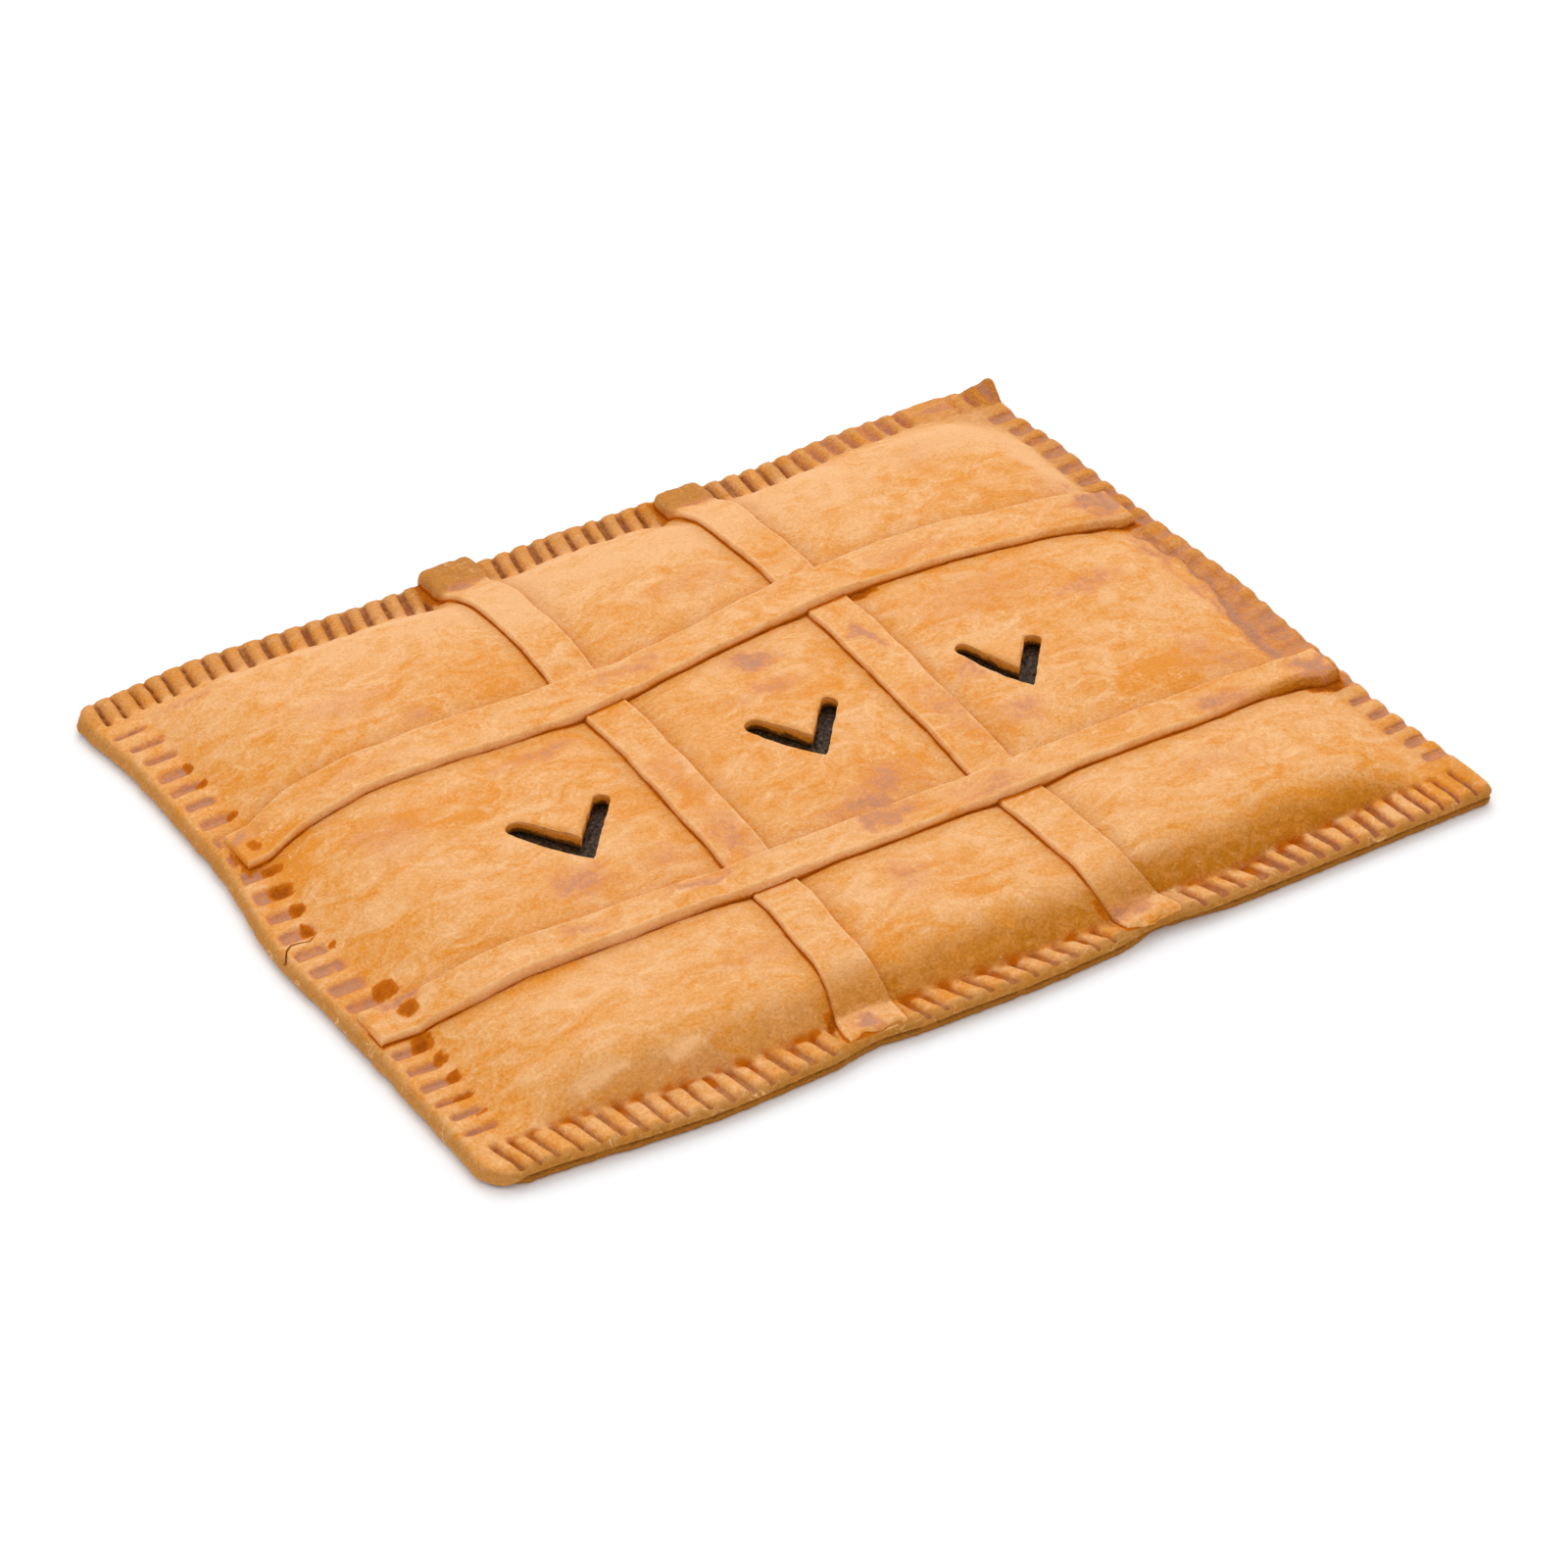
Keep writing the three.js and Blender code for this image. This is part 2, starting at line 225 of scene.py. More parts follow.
def shoulder(from_edge, width):
    """0 at the rim's inner crease, 1 where the shoulder reaches the plateau."""
    t = np.clip((from_edge - RIM_WIDTH) / width, 0, 1)
    return 1 - (1 - t) ** SHOULDER_ROUNDNESS


def beside(strip, place, across):
    """Distance from a strip's nearest long edge, negative under the strip."""
    return np.abs(across - along(strip["centre"], place)) - along(strip["width"], place) / 2


def edge_distance(x, y):
    return np.minimum(HALF_L - np.abs(x), HALF_W - np.abs(y))


def lid_form(x, y):
    """Height of the lid's plain form over a point of the plain rectangle."""
    from_side, from_end = HALF_L - np.abs(x), HALF_W - np.abs(y)
    crown = PLATEAU + CROWN * (1 - (x / HALF_L) ** 2) * (1 - (y / HALF_W) ** 2)
    long_beds = np.maximum(*(fall(beside(s, x, y), 0, BED_SLOPE) for s in LONG_STRIPS))
    short_beds = np.maximum(*(fall(beside(s, y, x), 0, BED_SLOPE) for s in SHORT_STRIPS))
    sunk = BED_DEPTH * (long_beds + short_beds)
    lip = LIP_DROP * fall(edge_distance(x, y), 0, LIP_WIDTH)
    tip = TIP_RISE * fall(np.hypot(HALF_L - x, HALF_W - y), 0, TIP_REACH)
    end_shoulder = shoulder(from_side, np.where(x < 0, SHOULDER_LEFT, SHOULDER_RIGHT))
    side_shoulder = shoulder(from_end, SHOULDER_LONG_EDGES)
    return RIM_TOP - lip + tip + (crown - sunk - RIM_TOP) * end_shoulder * side_shoulder


VALLEY_DEPTH = 1.9
VALLEY_REACH = 34
PUFF = 0.8


def valley(x, y):
    """How far the lid sinks towards the strips, so that the panels between them puff up."""
    gaps = [beside(strip, x, y) for strip in LONG_STRIPS] + [beside(strip, y, x) for strip in SHORT_STRIPS]
    near = 1 - np.clip(np.minimum.reduce(gaps) / VALLEY_REACH, 0, 1)
    return (VALLEY_DEPTH * near * near - PUFF) * smooth(edge_distance(x, y), 14, 34)


def swell(x, y):
    """Broad unevenness that the lid and the strips on it share."""
    return 0.45 * noise(x / 41, y / 33, 1) + 0.22 * noise(x / 17 + 5, y / 15, 2) - valley(x, y)


# Where the foot of the raised lid lies, in from the front and the right edge, as (place, distance)
FRONT_FOOT = (
    (-192, 15), (-150, 14.8), (-120, 14.4), (-90, 12.8), (-60, 11.8), (-30, 10.9), (0, 9.9), (40, 8.6),
    (70, 10.9), (95, 9.7), (120, 12.3), (165, 14.2), (192, 15),
)
RIGHT_FOOT = ((-150, 15), (-120, 13.5), (-100, 11), (-75, 12), (-50, 17), (-20, 17), (10, 14.5), (40, 16),
              (62, 12), (100, 11), (125, 13), (150, 15))
FRONT_SLOPE = 22
FRONT_BLEND = 66
RIGHT_BLEND = 60
# How much steeper the right end starts to rise, by place along it
RIGHT_STEEPNESS = ((-150, 0.9), (-85, 0.9), (-60, 0.4), (40, 0.3), (65, 0.9), (150, 0.9))
# The rounding of the lid's edge, deeper along the front and the left
EDGE_ROUND = 2.4
EDGE_FALL = 0.8
FRONT_EDGE_FALL = 1.7
LEFT_EDGE_ROUND = 4.5
LEFT_EDGE_FALL = 2.4
# The raised lid's back right corner: rim width and bend
CORNER_RIM = 13
CORNER_BEND = 30

# A long hollow along the right edge, between the ends of the two long strips: middle and half width
HOLLOW_SPAN = (-50, 34)
HOLLOW_LINE = ((-50, 9), (-25, 9), (-15, 8.4), (0, 7.4), (12, 7.2), (25, 9.5), (36, 12))
HOLLOW_HALF = ((-50, 9), (-30, 9), (-18, 6), (0, 3.6), (12, 3.0), (25, 2.4), (36, 1.5))
HOLLOW_DEPTH = 1.3

# The four rows of crimps. Counts gives the number of the mark at some places along the edge. A mark runs
# from start to end, measured in from the edge, and fades in and out there. Half is half its width, soft how
# gently its sides fall, bulge how round the ridges between are, and lean how far it slants.
ROWS = {
    "front": {
        "counts": ((-178.7, 0), (-172.9, 1), (-166.7, 2), (-144.8, 5), (-115.2, 9), (-69.9, 15), (-36, 20),
                   (-4.4, 24), (28, 28), (71.3, 34), (111.9, 39), (157.7, 45), (184.1, 49)),
        "pitch": 7.5, "start": 0.7, "end": FRONT_FOOT, "fade": 0.9, "start_fade": 0.9, "gaps": (),
        "depth": 2.4, "soft": 0.65, "bulge": 0.45, "seed": 11,
        "half": ((-192, 1.1), (-60, 1.3), (60, 1.5), (110, 1.7), (150, 1.4), (192, 1.1)),
        "lean": ((-192, -0.2), (-100, -0.17), (-60, -0.25), (0, -0.5), (40, -0.5), (75, -0.38),
                 (110, -0.25), (150, -0.1), (192, -0.05)),
    },
    "back": {
        "counts": ((-182.4, 0), (-155, 4), (-109.2, 10), (-62.9, 16), (-24.5, 21), (-2.7, 24), (34.3, 29),
                   (70.6, 34), (108.5, 39), (148, 44), (184, 49)),
        "pitch": 7.2, "start": 0.6, "end": ((-192, 15.5), (60, 16), (90, 15.6), (115, 13.6), (192, 12.4)),
        "fade": 0.9, "start_fade": 2.6, "gaps": ((154, 168),), "gap_fade": 0.8,
        "depth": 3.1, "soft": 0.7, "bulge": 0.4, "seed": 12,
        "half": ((-192, 0.8), (-150, 1.0), (-110, 1.35), (95, 1.3), (125, 1.7), (192, 1.6)),
        "lean": ((-192, -0.05), (-150, -0.1), (-110, -0.2), (0, -0.2), (42, -0.25), (62, -0.08), (130, 0)),
    },
    "left": {
        "counts": ((-120.5, 0), (-77, 5), (-38, 9), (-17, 11), (28, 15), (61, 18), (102, 22), (120, 24)),
        "pitch": 10, "start": 3.4, "end": ((-150, 15), (-50, 14.6), (60, 15), (150, 16)),
        "fade": 1.4, "start_fade": 1.2, "gaps": (),
        "depth": 2, "soft": 0.7, "bulge": 0.35, "seed": 13,
        "half": ((-122, 1.3), (-95, 1.9), (-45, 2.5), (20, 2.5), (60, 2.1), (102, 1.8), (122, 1.1)),
        "lean": ((-150, -0.25), (-110, -0.05), (150, 0.04)),
    },
    "right": {
        "counts": ((-124.5, 0), (-105, 2), (-86, 4), (31, 16), (73, 20), (95, 22), (125, 25)),
        "pitch": 9.8, "start": -0.6, "end": ((-150, 10), (60, 10.5), (110, 11), (150, 13)),
        "fade": 1.4, "start_fade": 2.2, "gaps": (HOLLOW_SPAN,), "gap_fade": 0.4,
        "depth": 2, "soft": 0.8, "bulge": 0.45, "seed": 14,
        "half": ((-150, 2.0), (150, 2.0)),
        "lean": ((-150, 0.05), (-100, -0.08), (150, 0)),
    },
}
LEAN_FROM = 7

# Lumps and dents: x, y, half length, half width and height
BUMPS = (
    (-137, -127, 9, 4, 2), (-110, -130, 9, 4, 2), (-92, -109, 15, 4, -0.9), (-76, -119, 12, 4, -0.7),
    (-123, -130, 5, 4, -1.4), (-152, -118, 8, 5, 0.7), (-66, -126, 8, 4, 0.6), (8, -128, 10, 4, 0.5),
    (110, -126, 12, 4, 0.6), (150, -112, 10, 5, -0.5), (-120, 96, 12, 8, -0.4), (20, 92, 14, 8, 0.4),
    (130, 107, 13, 9, -1.1), (-12, 8, 8, 6, -0.4), (118, 2, 12, 8, 0.4), (-130, -8, 12, 7, -0.5),
    (172, -12, 4, 7, 0.9), (173, 14, 4, 8, 0.7), (168, -30, 4, 6, 0.6), (-14, -98, 8, 6, -0.4),
    (-59, 126, 8, 7, -2.6), (37, 127, 8, 7, -2.4), (-181, -144, 4, 2.5, -1.6), (-184, -134, 3, 3, -0.8),
    (160, 143, 5, 3, 0.6), (152, 141, 3, 3, 0.5), (171, 141, 2, 8, -0.8), (66, 46, 8, 3, -1.4),
)

# Paler and more orange patches on the lid and strips, partly the crust's own tone and partly painted light
# and shade, paler on lit slopes and lumps and more orange where shade falls: x, y, half length, half width
# and amount, which is below 0 for orange
TONES_AND_SHADING = (
    (0, 112, 155, 19, 0.55), (150, 112, 26, 18, 0.2), (0, -90, 165, 13, 0.22),
    (-132, -92, 24, 11, 0.25), (-152, 69, 18, 11, -0.45), (-66, 69, 15, 10, -0.35),
    (-28, 68, 11, 9, -0.3), (150, 70, 14, 8, -0.25), (-82, 28, 22, 10, -0.4), (-172, 28, 11, 13, -0.8),
    (-118, 10, 20, 11, -0.45), (-172, 8, 10, 12, -0.4), (72, 10, 9, 9, -0.25), (-170, -30, 9, 12, -0.4),
    (-30, -42, 10, 12, -0.25), (18, -47, 20, 11, -0.4), (64, -40, 9, 15, -0.4),
    (124, -48, 30, 10, -0.65), (110, 14, 30, 16, -0.25), (10, -108, 12, 12, -0.3),
    (92, -108, 14, 10, 0.12), (170, -28, 8, 16, -0.3), (40, -70, 36, 8, 0.25), (-172, 90, 8, 40, -0.2),
    (-137, -126, 9, 4, 0.85), (-110, -129, 8, 4, 0.85), (-172, -100, 10, 26, -0.25),
    (75, 82, 20, 10, 0.2), (148, 122, 32, 12, 0.3), (172, 98, 7, 32, 0.6), (-150, 112, 24, 14, 0.2),
    (110, 60, 60, 6, 0.15), (50, 108, 100, 12, 0.25), (-45, 100, 14, 18, 0.25), (105, 106, 20, 9, 0.15),
    (-110, 66, 9, 7, 0.3), (-90, 68, 8, 6, -0.3), (85, 70, 15, 6, 0.3), (132, 70, 10, 8, 0.25),
    (-90, 47, 13, 6, -0.3), (72, 52, 10, 6, -0.35), (110, 52, 17, 6, -0.3), (-130, 8, 10, 9, -0.3),
    (10, -48, 14, 8, -0.2), (80, -50, 16, 8, -0.3), (-130, -92, 14, 10, 0.25), (72, -108, 8, 8, -0.3),
    (80, -90, 18, 7, 0.25), (-10, -108, 9, 9, 0.25), (140, -130, 34, 8, -0.3), (52, -134, 13, 9, 0.3),
    (-45, 52, 9, 8, 0.25), (22, 20, 9, 12, 0.25), (90, 10, 16, 10, -0.25), (130, -32, 12, 8, -0.35),
    (66, -32, 8, 10, -0.2), (134, -52, 14, 6, -0.3), (154, 120, 18, 15, 0.3), (176, -140, 14, 10, -0.6),
    (-45, -8, 4, 34, -0.35), (-45, 98, 12, 16, 0.15), (-172, 50, 9, 7, -0.3), (-172, 38, 10, 9, -0.4),
    (10, -70, 14, 6, -0.3), (-48, 136, 12, 9, -0.5), (10, 12, 9, 8, -0.25), (50, -49, 16, 6, -0.25),
    (162, 118, 12, 14, 0.2), (-68, 121, 11, 5, -0.5), (28, 122, 11, 5, -0.5), (168, 82, 6, 34, 0.35),
    (-115, -80, 32, 5, 0.4), (30, 50, 12, 6, 0.25), (-84, 30, 26, 6, 0.25),
)

# Stains, on the lid and then on the strips: x, y, half length, half width and strength. Weak ones are
# russet, and from about 0.6 on they turn mauve.
LID_STAINS = (
    (11, 29, 9, 6, 0.65), (-78, 22, 13, 4, 0.5), (-98, -45, 11, 7, 0.55), (-68, -47, 9, 5, 0.35),
    (4, -57, 18, 3, 0.7), (6, 11, 15, 4, 0.4), (-9, -97, 7, 10, 0.4), (132, 7, 10, 5, 0.45),
    (144, 12, 9, 5, 0.4), (72, -14, 2.5, 6, 0.5), (74, -42, 9, 7, 0.4), (-98, 66, 6, 3, 0.45),
    (-72, -105, 12, 6, 0.25), (130, 107, 14, 9, 0.15), (-157, 121, 13, 2.5, 0.5),
    (176, -12, 4, 14, 0.6), (174, 20, 4, 14, 0.55), (-120, 80, 16, 9, 0.25), (20, 80, 18, 6, 0.25),
    (-140, 10, 12, 12, 0.25), (148, -40, 10, 8, 0.3), (110, -100, 12, 6, 0.25), (12, -50, 12, 6, 0.5),
    (156, -50, 18, 6, 0.35), (166, 70, 10, 6, 0.35), (100, 22, 28, 13, 0.22), (174, 41, 6, 3, 0.8),
    (184, -76, 6, 2.5, 0.6), (162, 143, 7, 3, 0.6),
)
STRIP_STAINS = (
    (54, 22, 3, 8, 0.6), (6, -69, 13, 4, 0.65), (-66, -66, 13, 2.5, 0.55), (-112, -67, 12, 2.5, 0.4),
    (134, -72, 8, 4, 0.75), (177, -67, 8, 6, 0.9), (-27, 47, 18, 4, 0.4), (174, 54, 9, 8, 0.95),
    (-173, -57.5, 4, 3.5, 0.8), (-53, -142, 5, 4, 0.9), (50, -139, 6, 4, 0.75), (-45, -47, 6, 13, 0.5),
    (-44, -14, 6, 14, 0.3), (52, -30, 5, 18, 0.35), (-43, 131, 7, 2.5, 0.9), (52, 132, 6, 3, 0.6),
    (-175, 46, 5, 4, 0.75), (40, -72, 16, 4, 0.4), (45, 132, 2.5, 3, 0.5), (90, 56, 20, 4, 0.25),
    (-130, 47, 18, 4, 0.2),
)
# Caramel spots, on the lid and then on the strips: x, y, half length, half width and strength. Some spots
# on the lid are painted shadow under the lifted ends and crossings of the strips.
LID_CARAMEL_AND_SHADOW = (
    (-176.5, 16, 4.6, 4.2, 1), (-176.5, 5, 3.2, 3.4, 0.9), (-179, -6, 2.6, 3.4, 0.95),
    (-176, -17.5, 1.2, 2, 0.8), (-173, -46.5, 4.4, 4.4, 0.85), (-175.5, -75.5, 4.2, 4.2, 0.95),
    (-174, -85, 2.6, 2.8, 0.85), (-174.5, -94.6, 2.3, 2.3, 0.85), (-177, -104, 3.6, 2, 0.8),
    (-175.5, -113.6, 3, 1.2, 0.6), (-174.5, 27.5, 4, 3, 0.8), (-171.5, 61, 2, 2.2, 0.85),
    (-172, 81.5, 1.6, 2, 0.8), (-171.5, 92.5, 1.8, 2.4, 0.8), (-61.5, -136, 2.6, 3.6, 0.9),
    (39.5, -137, 2.2, 3, 0.9), (-181, 36, 0.9, 8, 0.9), (176, 40, 9, 1.4, 0.9),
    (177, -76.6, 10, 2.2, 1), (66, 46.8, 8, 2.4, 1),
)
STRIP_CARAMEL = ((-172.5, -61.5, 3.8, 4, 0.95), (-173.8, 40, 2.6, 3.6, 0.8))


def row_places(name, x, y):
    """Place along an edge, as it really lies, and distance in from it on the plain rectangle."""
    real_x, real_y = outlined(x, y)
    if name in ("front", "back"):
        return real_x, HALF_W + (y if name == "front" else -y)
    return real_y, HALF_L + (x if name == "left" else -x)


def crimp(name, x, y):
    """How much a row presses here, and how far this is a mark's floor or the painted shade along its far
    edge, from 0 to 1.
    """
    row = ROWS[name]
    place, inward = row_places(name, x, y)
    pitch, seed = row["pitch"], row["seed"]
    bow = 0.5 * noise(inward / 9, place / 30, seed + 20)
    leaned = place - along(row["lean"], place) * (inward - LEAN_FROM) - bow
    places, counts = np.array(row["counts"], float).T
    past = leaned - np.clip(leaned, places[0], places[-1])
    number = np.interp(leaned, places, counts) + past / pitch
    index = np.round(number)
    past_middle = (number - index + 0.16 * (chance(index, 0, seed) - 0.5)) * pitch
    off = np.abs(past_middle)
    strength = 0.75 + 0.4 * chance(index, 1, seed)
    start = row["start"] + 1.0 * (chance(index, 2, seed) - 0.5)
    end = along(row["end"], place) + 1.6 * (chance(index, 3, seed) - 0.5)
    half = along(row["half"], place) * (0.75 + 0.5 * chance(index, 4, seed))
    fade, start_fade = row["fade"], row["start_fade"]
    reach = smooth(inward, start - start_fade, start + start_fade)
    reach = reach * fall(inward, end - fade, end + fade)
    reach = reach * span_share(leaned, (places[0] - pitch / 2, places[-1] + pitch / 2), 1)
    for gap in row["gaps"]:
        reach = reach * (1 - row["gap_fade"] * span_share(place, gap, 5))
    floor = fall(off, half - row["soft"], half + row["soft"]) * reach
    rounding = row["bulge"] * np.clip(1 - off / (pitch / 2), 0, 1) ** 2 * reach
    far_edge_shade = np.exp(-((past_middle - half) / 0.6) ** 2) * reach
    return (1 - row["bulge"]) * floor * strength + rounding, floor, far_edge_shade


def hollow(x, y):
    """How far a point lies in the long hollow, and in the darker band along its inner side."""
    inward = HALF_L - x + 2.2 * noise(x / 9, y / 9, 39) + 0.8 * noise(x / 3, y / 3, 40)
    place, _ = row_places("right", x, y)
    across = (inward - along(HOLLOW_LINE, place)) / along(HOLLOW_HALF, place)
    inside = span_share(place, HOLLOW_SPAN, 5)
    return fall(np.abs(across), 0.5, 1.3) * inside, np.exp(-((across - 0.75) / 0.4) ** 2) * inside


def strip_cover(x, y, margin):
    """1 under the strips, 0 a little way outside their edges."""
    covers = []
    for strip in LONG_STRIPS:
        covers.append(fall(beside(strip, x, y), 0, margin) * span_share(x, strip["span"], margin))
    for strip in SHORT_STRIPS:
        covers.append(fall(beside(strip, y, x), 0, margin) * span_share(y, strip["span"], margin))
    return np.maximum.reduce(covers)


# How wide the painted shadow in the gap beside the long and the short strips is, as (place, millimetres)
LONG_GUTTER_SHADOW = (
    (-186, 2.6), (-160, 0.8), (-82, 0.7), (-70, 1.8), (-55, 1.8), (-30, 1.4), (10, 1.5), (30, 2.2),
    (64, 2.2), (80, 1.5), (150, 1.5), (160, 2.2), (176, 3), (192, 3),
)
SHORT_GUTTER_SHADOW = ((-144, 1.1), (100, 1.2), (118, 2.6), (135, 2.6))


def gutter_shadow(strips, widths, place, across):
    """1 in the painted shadow of the gap along a strip's near or left-hand edge."""
    share = np.zeros(np.shape(place))
    for strip in strips:
        close = fall(beside(strip, place, across), 0.2, along(widths, place))
        close = close * span_share(place, strip["span"], 1)
        share = np.maximum(share, close * (across < along(strip["centre"], place)))
    return share


def vent_lines(vent):
    """Apex, and direction, left-hand normal, length and half width of each arm."""
    arms = []
    for turn, length, width in vent["arms"]:
        angle = math.radians(turn)
        direction = np.array((-math.sin(angle), math.cos(angle)))
        normal = np.array((-direction[1], direction[0]))
        arms.append((direction, normal, length, width / 2))
    return np.array(vent["apex"], float), arms


def slot_distance(x, y):
    """Distance from the edge of the nearest vent, negative inside it."""
    nearest = np.full(np.shape(x), 1e3)
    for vent in VENTS:
        apex, arms = vent_lines(vent)
        for direction, normal, length, half in arms:
            run = (x - apex[0]) * direction[0] + (y - apex[1]) * direction[1]
            off = (x - apex[0]) * normal[0] + (y - apex[1]) * normal[1]
            run = run - np.clip(run, 0, length - half)
            nearest = np.minimum(nearest, np.hypot(run, off) - half)
    return nearest


def flap(x, y):
    """How much a point belongs to the tongue of dough between a vent's two arms."""
    share = np.zeros(np.shape(x))
    for vent in VENTS:
        apex, ((left, left_normal, _, _), (right, right_normal, _, _)) = vent_lines(vent)
        dx, dy = x - apex[0], y - apex[1]
        beside_left = -(dx * left_normal[0] + dy * left_normal[1])
        beside_right = dx * right_normal[0] + dy * right_normal[1]
        middle = (left + right) / np.linalg.norm(left + right)
        run = dx * middle[0] + dy * middle[1]
        inside = smooth(beside_left, -1, 2) * smooth(beside_right, -1, 2)
        share = np.maximum(share, inside * fall(run, 6, 32))
    return share


def bumps(x, y):
    total = np.zeros(np.shape(x))
    for at_x, at_y, half_x, half_y, rise in BUMPS:
        total = total + rise * np.exp(-((x - at_x) / half_x) ** 2 - ((y - at_y) / half_y) ** 2)
    return total


def jostled(x, y, sizes, moves_x, moves_y, seeds):
    """Points moved about in lumps of a broad and a fine size, which makes the edges of patches ragged."""
    broad, fine = sizes
    in_broad, in_fine = noise(x / broad, y / broad, seeds[0]), noise(x / fine, y / fine, seeds[1])
    x = x + moves_x[0] * in_broad + moves_x[1] * in_fine
    in_broad, in_fine = noise(x / broad, y / broad, seeds[2]), noise(x / fine, y / fine, seeds[3])
    y = y + moves_y[0] * in_broad + moves_y[1] * in_fine
    return x, y


def stained(x, y, stains, seed):
    """How strongly a list of stains colours a point; their edges are ragged."""
    x, y = jostled(x, y, (10, 3.5), (6, 2.5), (4, 2), range(seed, seed + 4))
    share = np.zeros(np.shape(x))
    for at_x, at_y, half_x, half_y, strength in stains:
        reach = np.hypot((x - at_x) / half_x, (y - at_y) / half_y)
        share = np.maximum(share, strength * fall(reach, 0, 1.7))
    return share


def toned_and_shaded(x, y):
    """How much paler, or below 0 more orange, the crust is at a point: partly its own tone, partly painted
    light and shade.
    """
    x, y = jostled(x, y, (14, 5), (7, 3), (6, 3), (75, 76, 77, 78))
    tone_and_shade = np.zeros(np.shape(x))
    for at_x, at_y, half_x, half_y, amount in TONES_AND_SHADING:
        reach = np.hypot((x - at_x) / half_x, (y - at_y) / half_y)
        tone_and_shade = tone_and_shade + amount * fall(reach, 0.1, 1.6)
    return tone_and_shade


def caramel_and_shadow(x, y, spots):
    """How strongly a list of squarish spots colours a point: caramel, and on the lid some painted shadow.
    """
    x, y = jostled(x, y, (4, 1.7), (1.2, 0.7), (0.9, 0.6), (81, 83, 82, 84))
    share = np.zeros(np.shape(x))
    for at_x, at_y, half_x, half_y, strength in spots:
        reach = (np.abs((x - at_x) / half_x) ** 3 + np.abs((y - at_y) / half_y) ** 3) ** (1 / 3)
        share = np.maximum(share, strength * fall(reach, 0.5, 1.1))
    return share


def baked_form(x, y):
    """The lid's plain form with its foot moved out along the front and right edges."""
    front, foot = HALF_W + y, along(FRONT_FOOT, x)
    moved = np.where(front < foot, front * RIM_WIDTH / foot,
                     RIM_WIDTH + (front - foot) * SHOULDER_LONG_EDGES / FRONT_SLOPE)
    slope_end = foot + FRONT_SLOPE
    further = RIM_WIDTH + SHOULDER_LONG_EDGES - slope_end
    beyond = front + further * fall(front, slope_end, FRONT_BLEND)
    formed_y = np.where(front < slope_end, moved, beyond) - HALF_W

    right, foot = HALF_L - x, along(RIGHT_FOOT, y)
    rise = np.clip((right - foot) / (RIGHT_BLEND - foot), 0, 1)
    rise = rise + along(RIGHT_STEEPNESS, y) * rise * (1 - rise)
    moved = np.where(right < foot, right * RIM_WIDTH / foot, RIM_WIDTH + rise * (RIGHT_BLEND - RIM_WIDTH))
    formed_x = np.where(right < RIGHT_BLEND, HALF_L - moved, x)
    lip = fall(edge_distance(x, y), 0, LIP_WIDTH)
    form = lid_form(formed_x, formed_y)
    raised = np.maximum(form - RIM_TOP, 0) * (1 - corner_share(x, y)) * (edge_distance(x, y) > CORNER_RIM)
    return form - raised + 0.8 * LIP_DROP * lip


def corner_share(x, y):
    """Falls to 0 outside the rounded back right corner of the raised lid."""
    from_right, from_back = HALF_L - x - CORNER_RIM, HALF_W - y - CORNER_RIM
    gap = np.hypot(np.maximum(CORNER_BEND - from_right, 0), np.maximum(CORNER_BEND - from_back, 0))
    straight = smooth(np.minimum(from_right, from_back), -6, 10)
    return np.clip(smooth(CORNER_BEND - gap, -6, 10) / np.maximum(straight, 0.02), 0, 1)


def edge_fall(x, y):
    """How far the rounding takes the lid down near its edge."""
    inward = np.clip(edge_distance(x, y) / EDGE_ROUND, 0, 1)
    front = fall(HALF_W + y, 2, 8)
    depth = EDGE_FALL + (FRONT_EDGE_FALL - EDGE_FALL) * front
    left = np.clip((HALF_L + x) / LEFT_EDGE_ROUND, 0, 1)
    left_fall = LEFT_EDGE_FALL * (1 - np.sqrt(1 - (1 - left) ** 2))
    return np.maximum(depth * (1 - np.sqrt(1 - (1 - inward) ** 2)), left_fall)


def front_slope(x, y):
    """1 where the lid falls steeply towards the front edge, 0 where it is level."""
    drop = (baked_form(x, y + 1) - baked_form(x, y - 1)) / 2
    return smooth(drop, 0.15, 0.85)


# Distances in from the edge over which the rim turns into the panels, and how much the rim swells with them
PANEL_START = 13
PANEL_END = 28
RIM_SWELL = 0.35
# How far the panels' feet wander, how deep strips, creases and wrinkles go, and how high the tongues curl
SLACK = 1.2
STRIP_PRESS = 0.5
CREASE_WIDTH = 1.5
CREASE_DEPTH = 0.7
WRINKLE_DEPTH = 0.7
TONGUE_CURL = 1.4


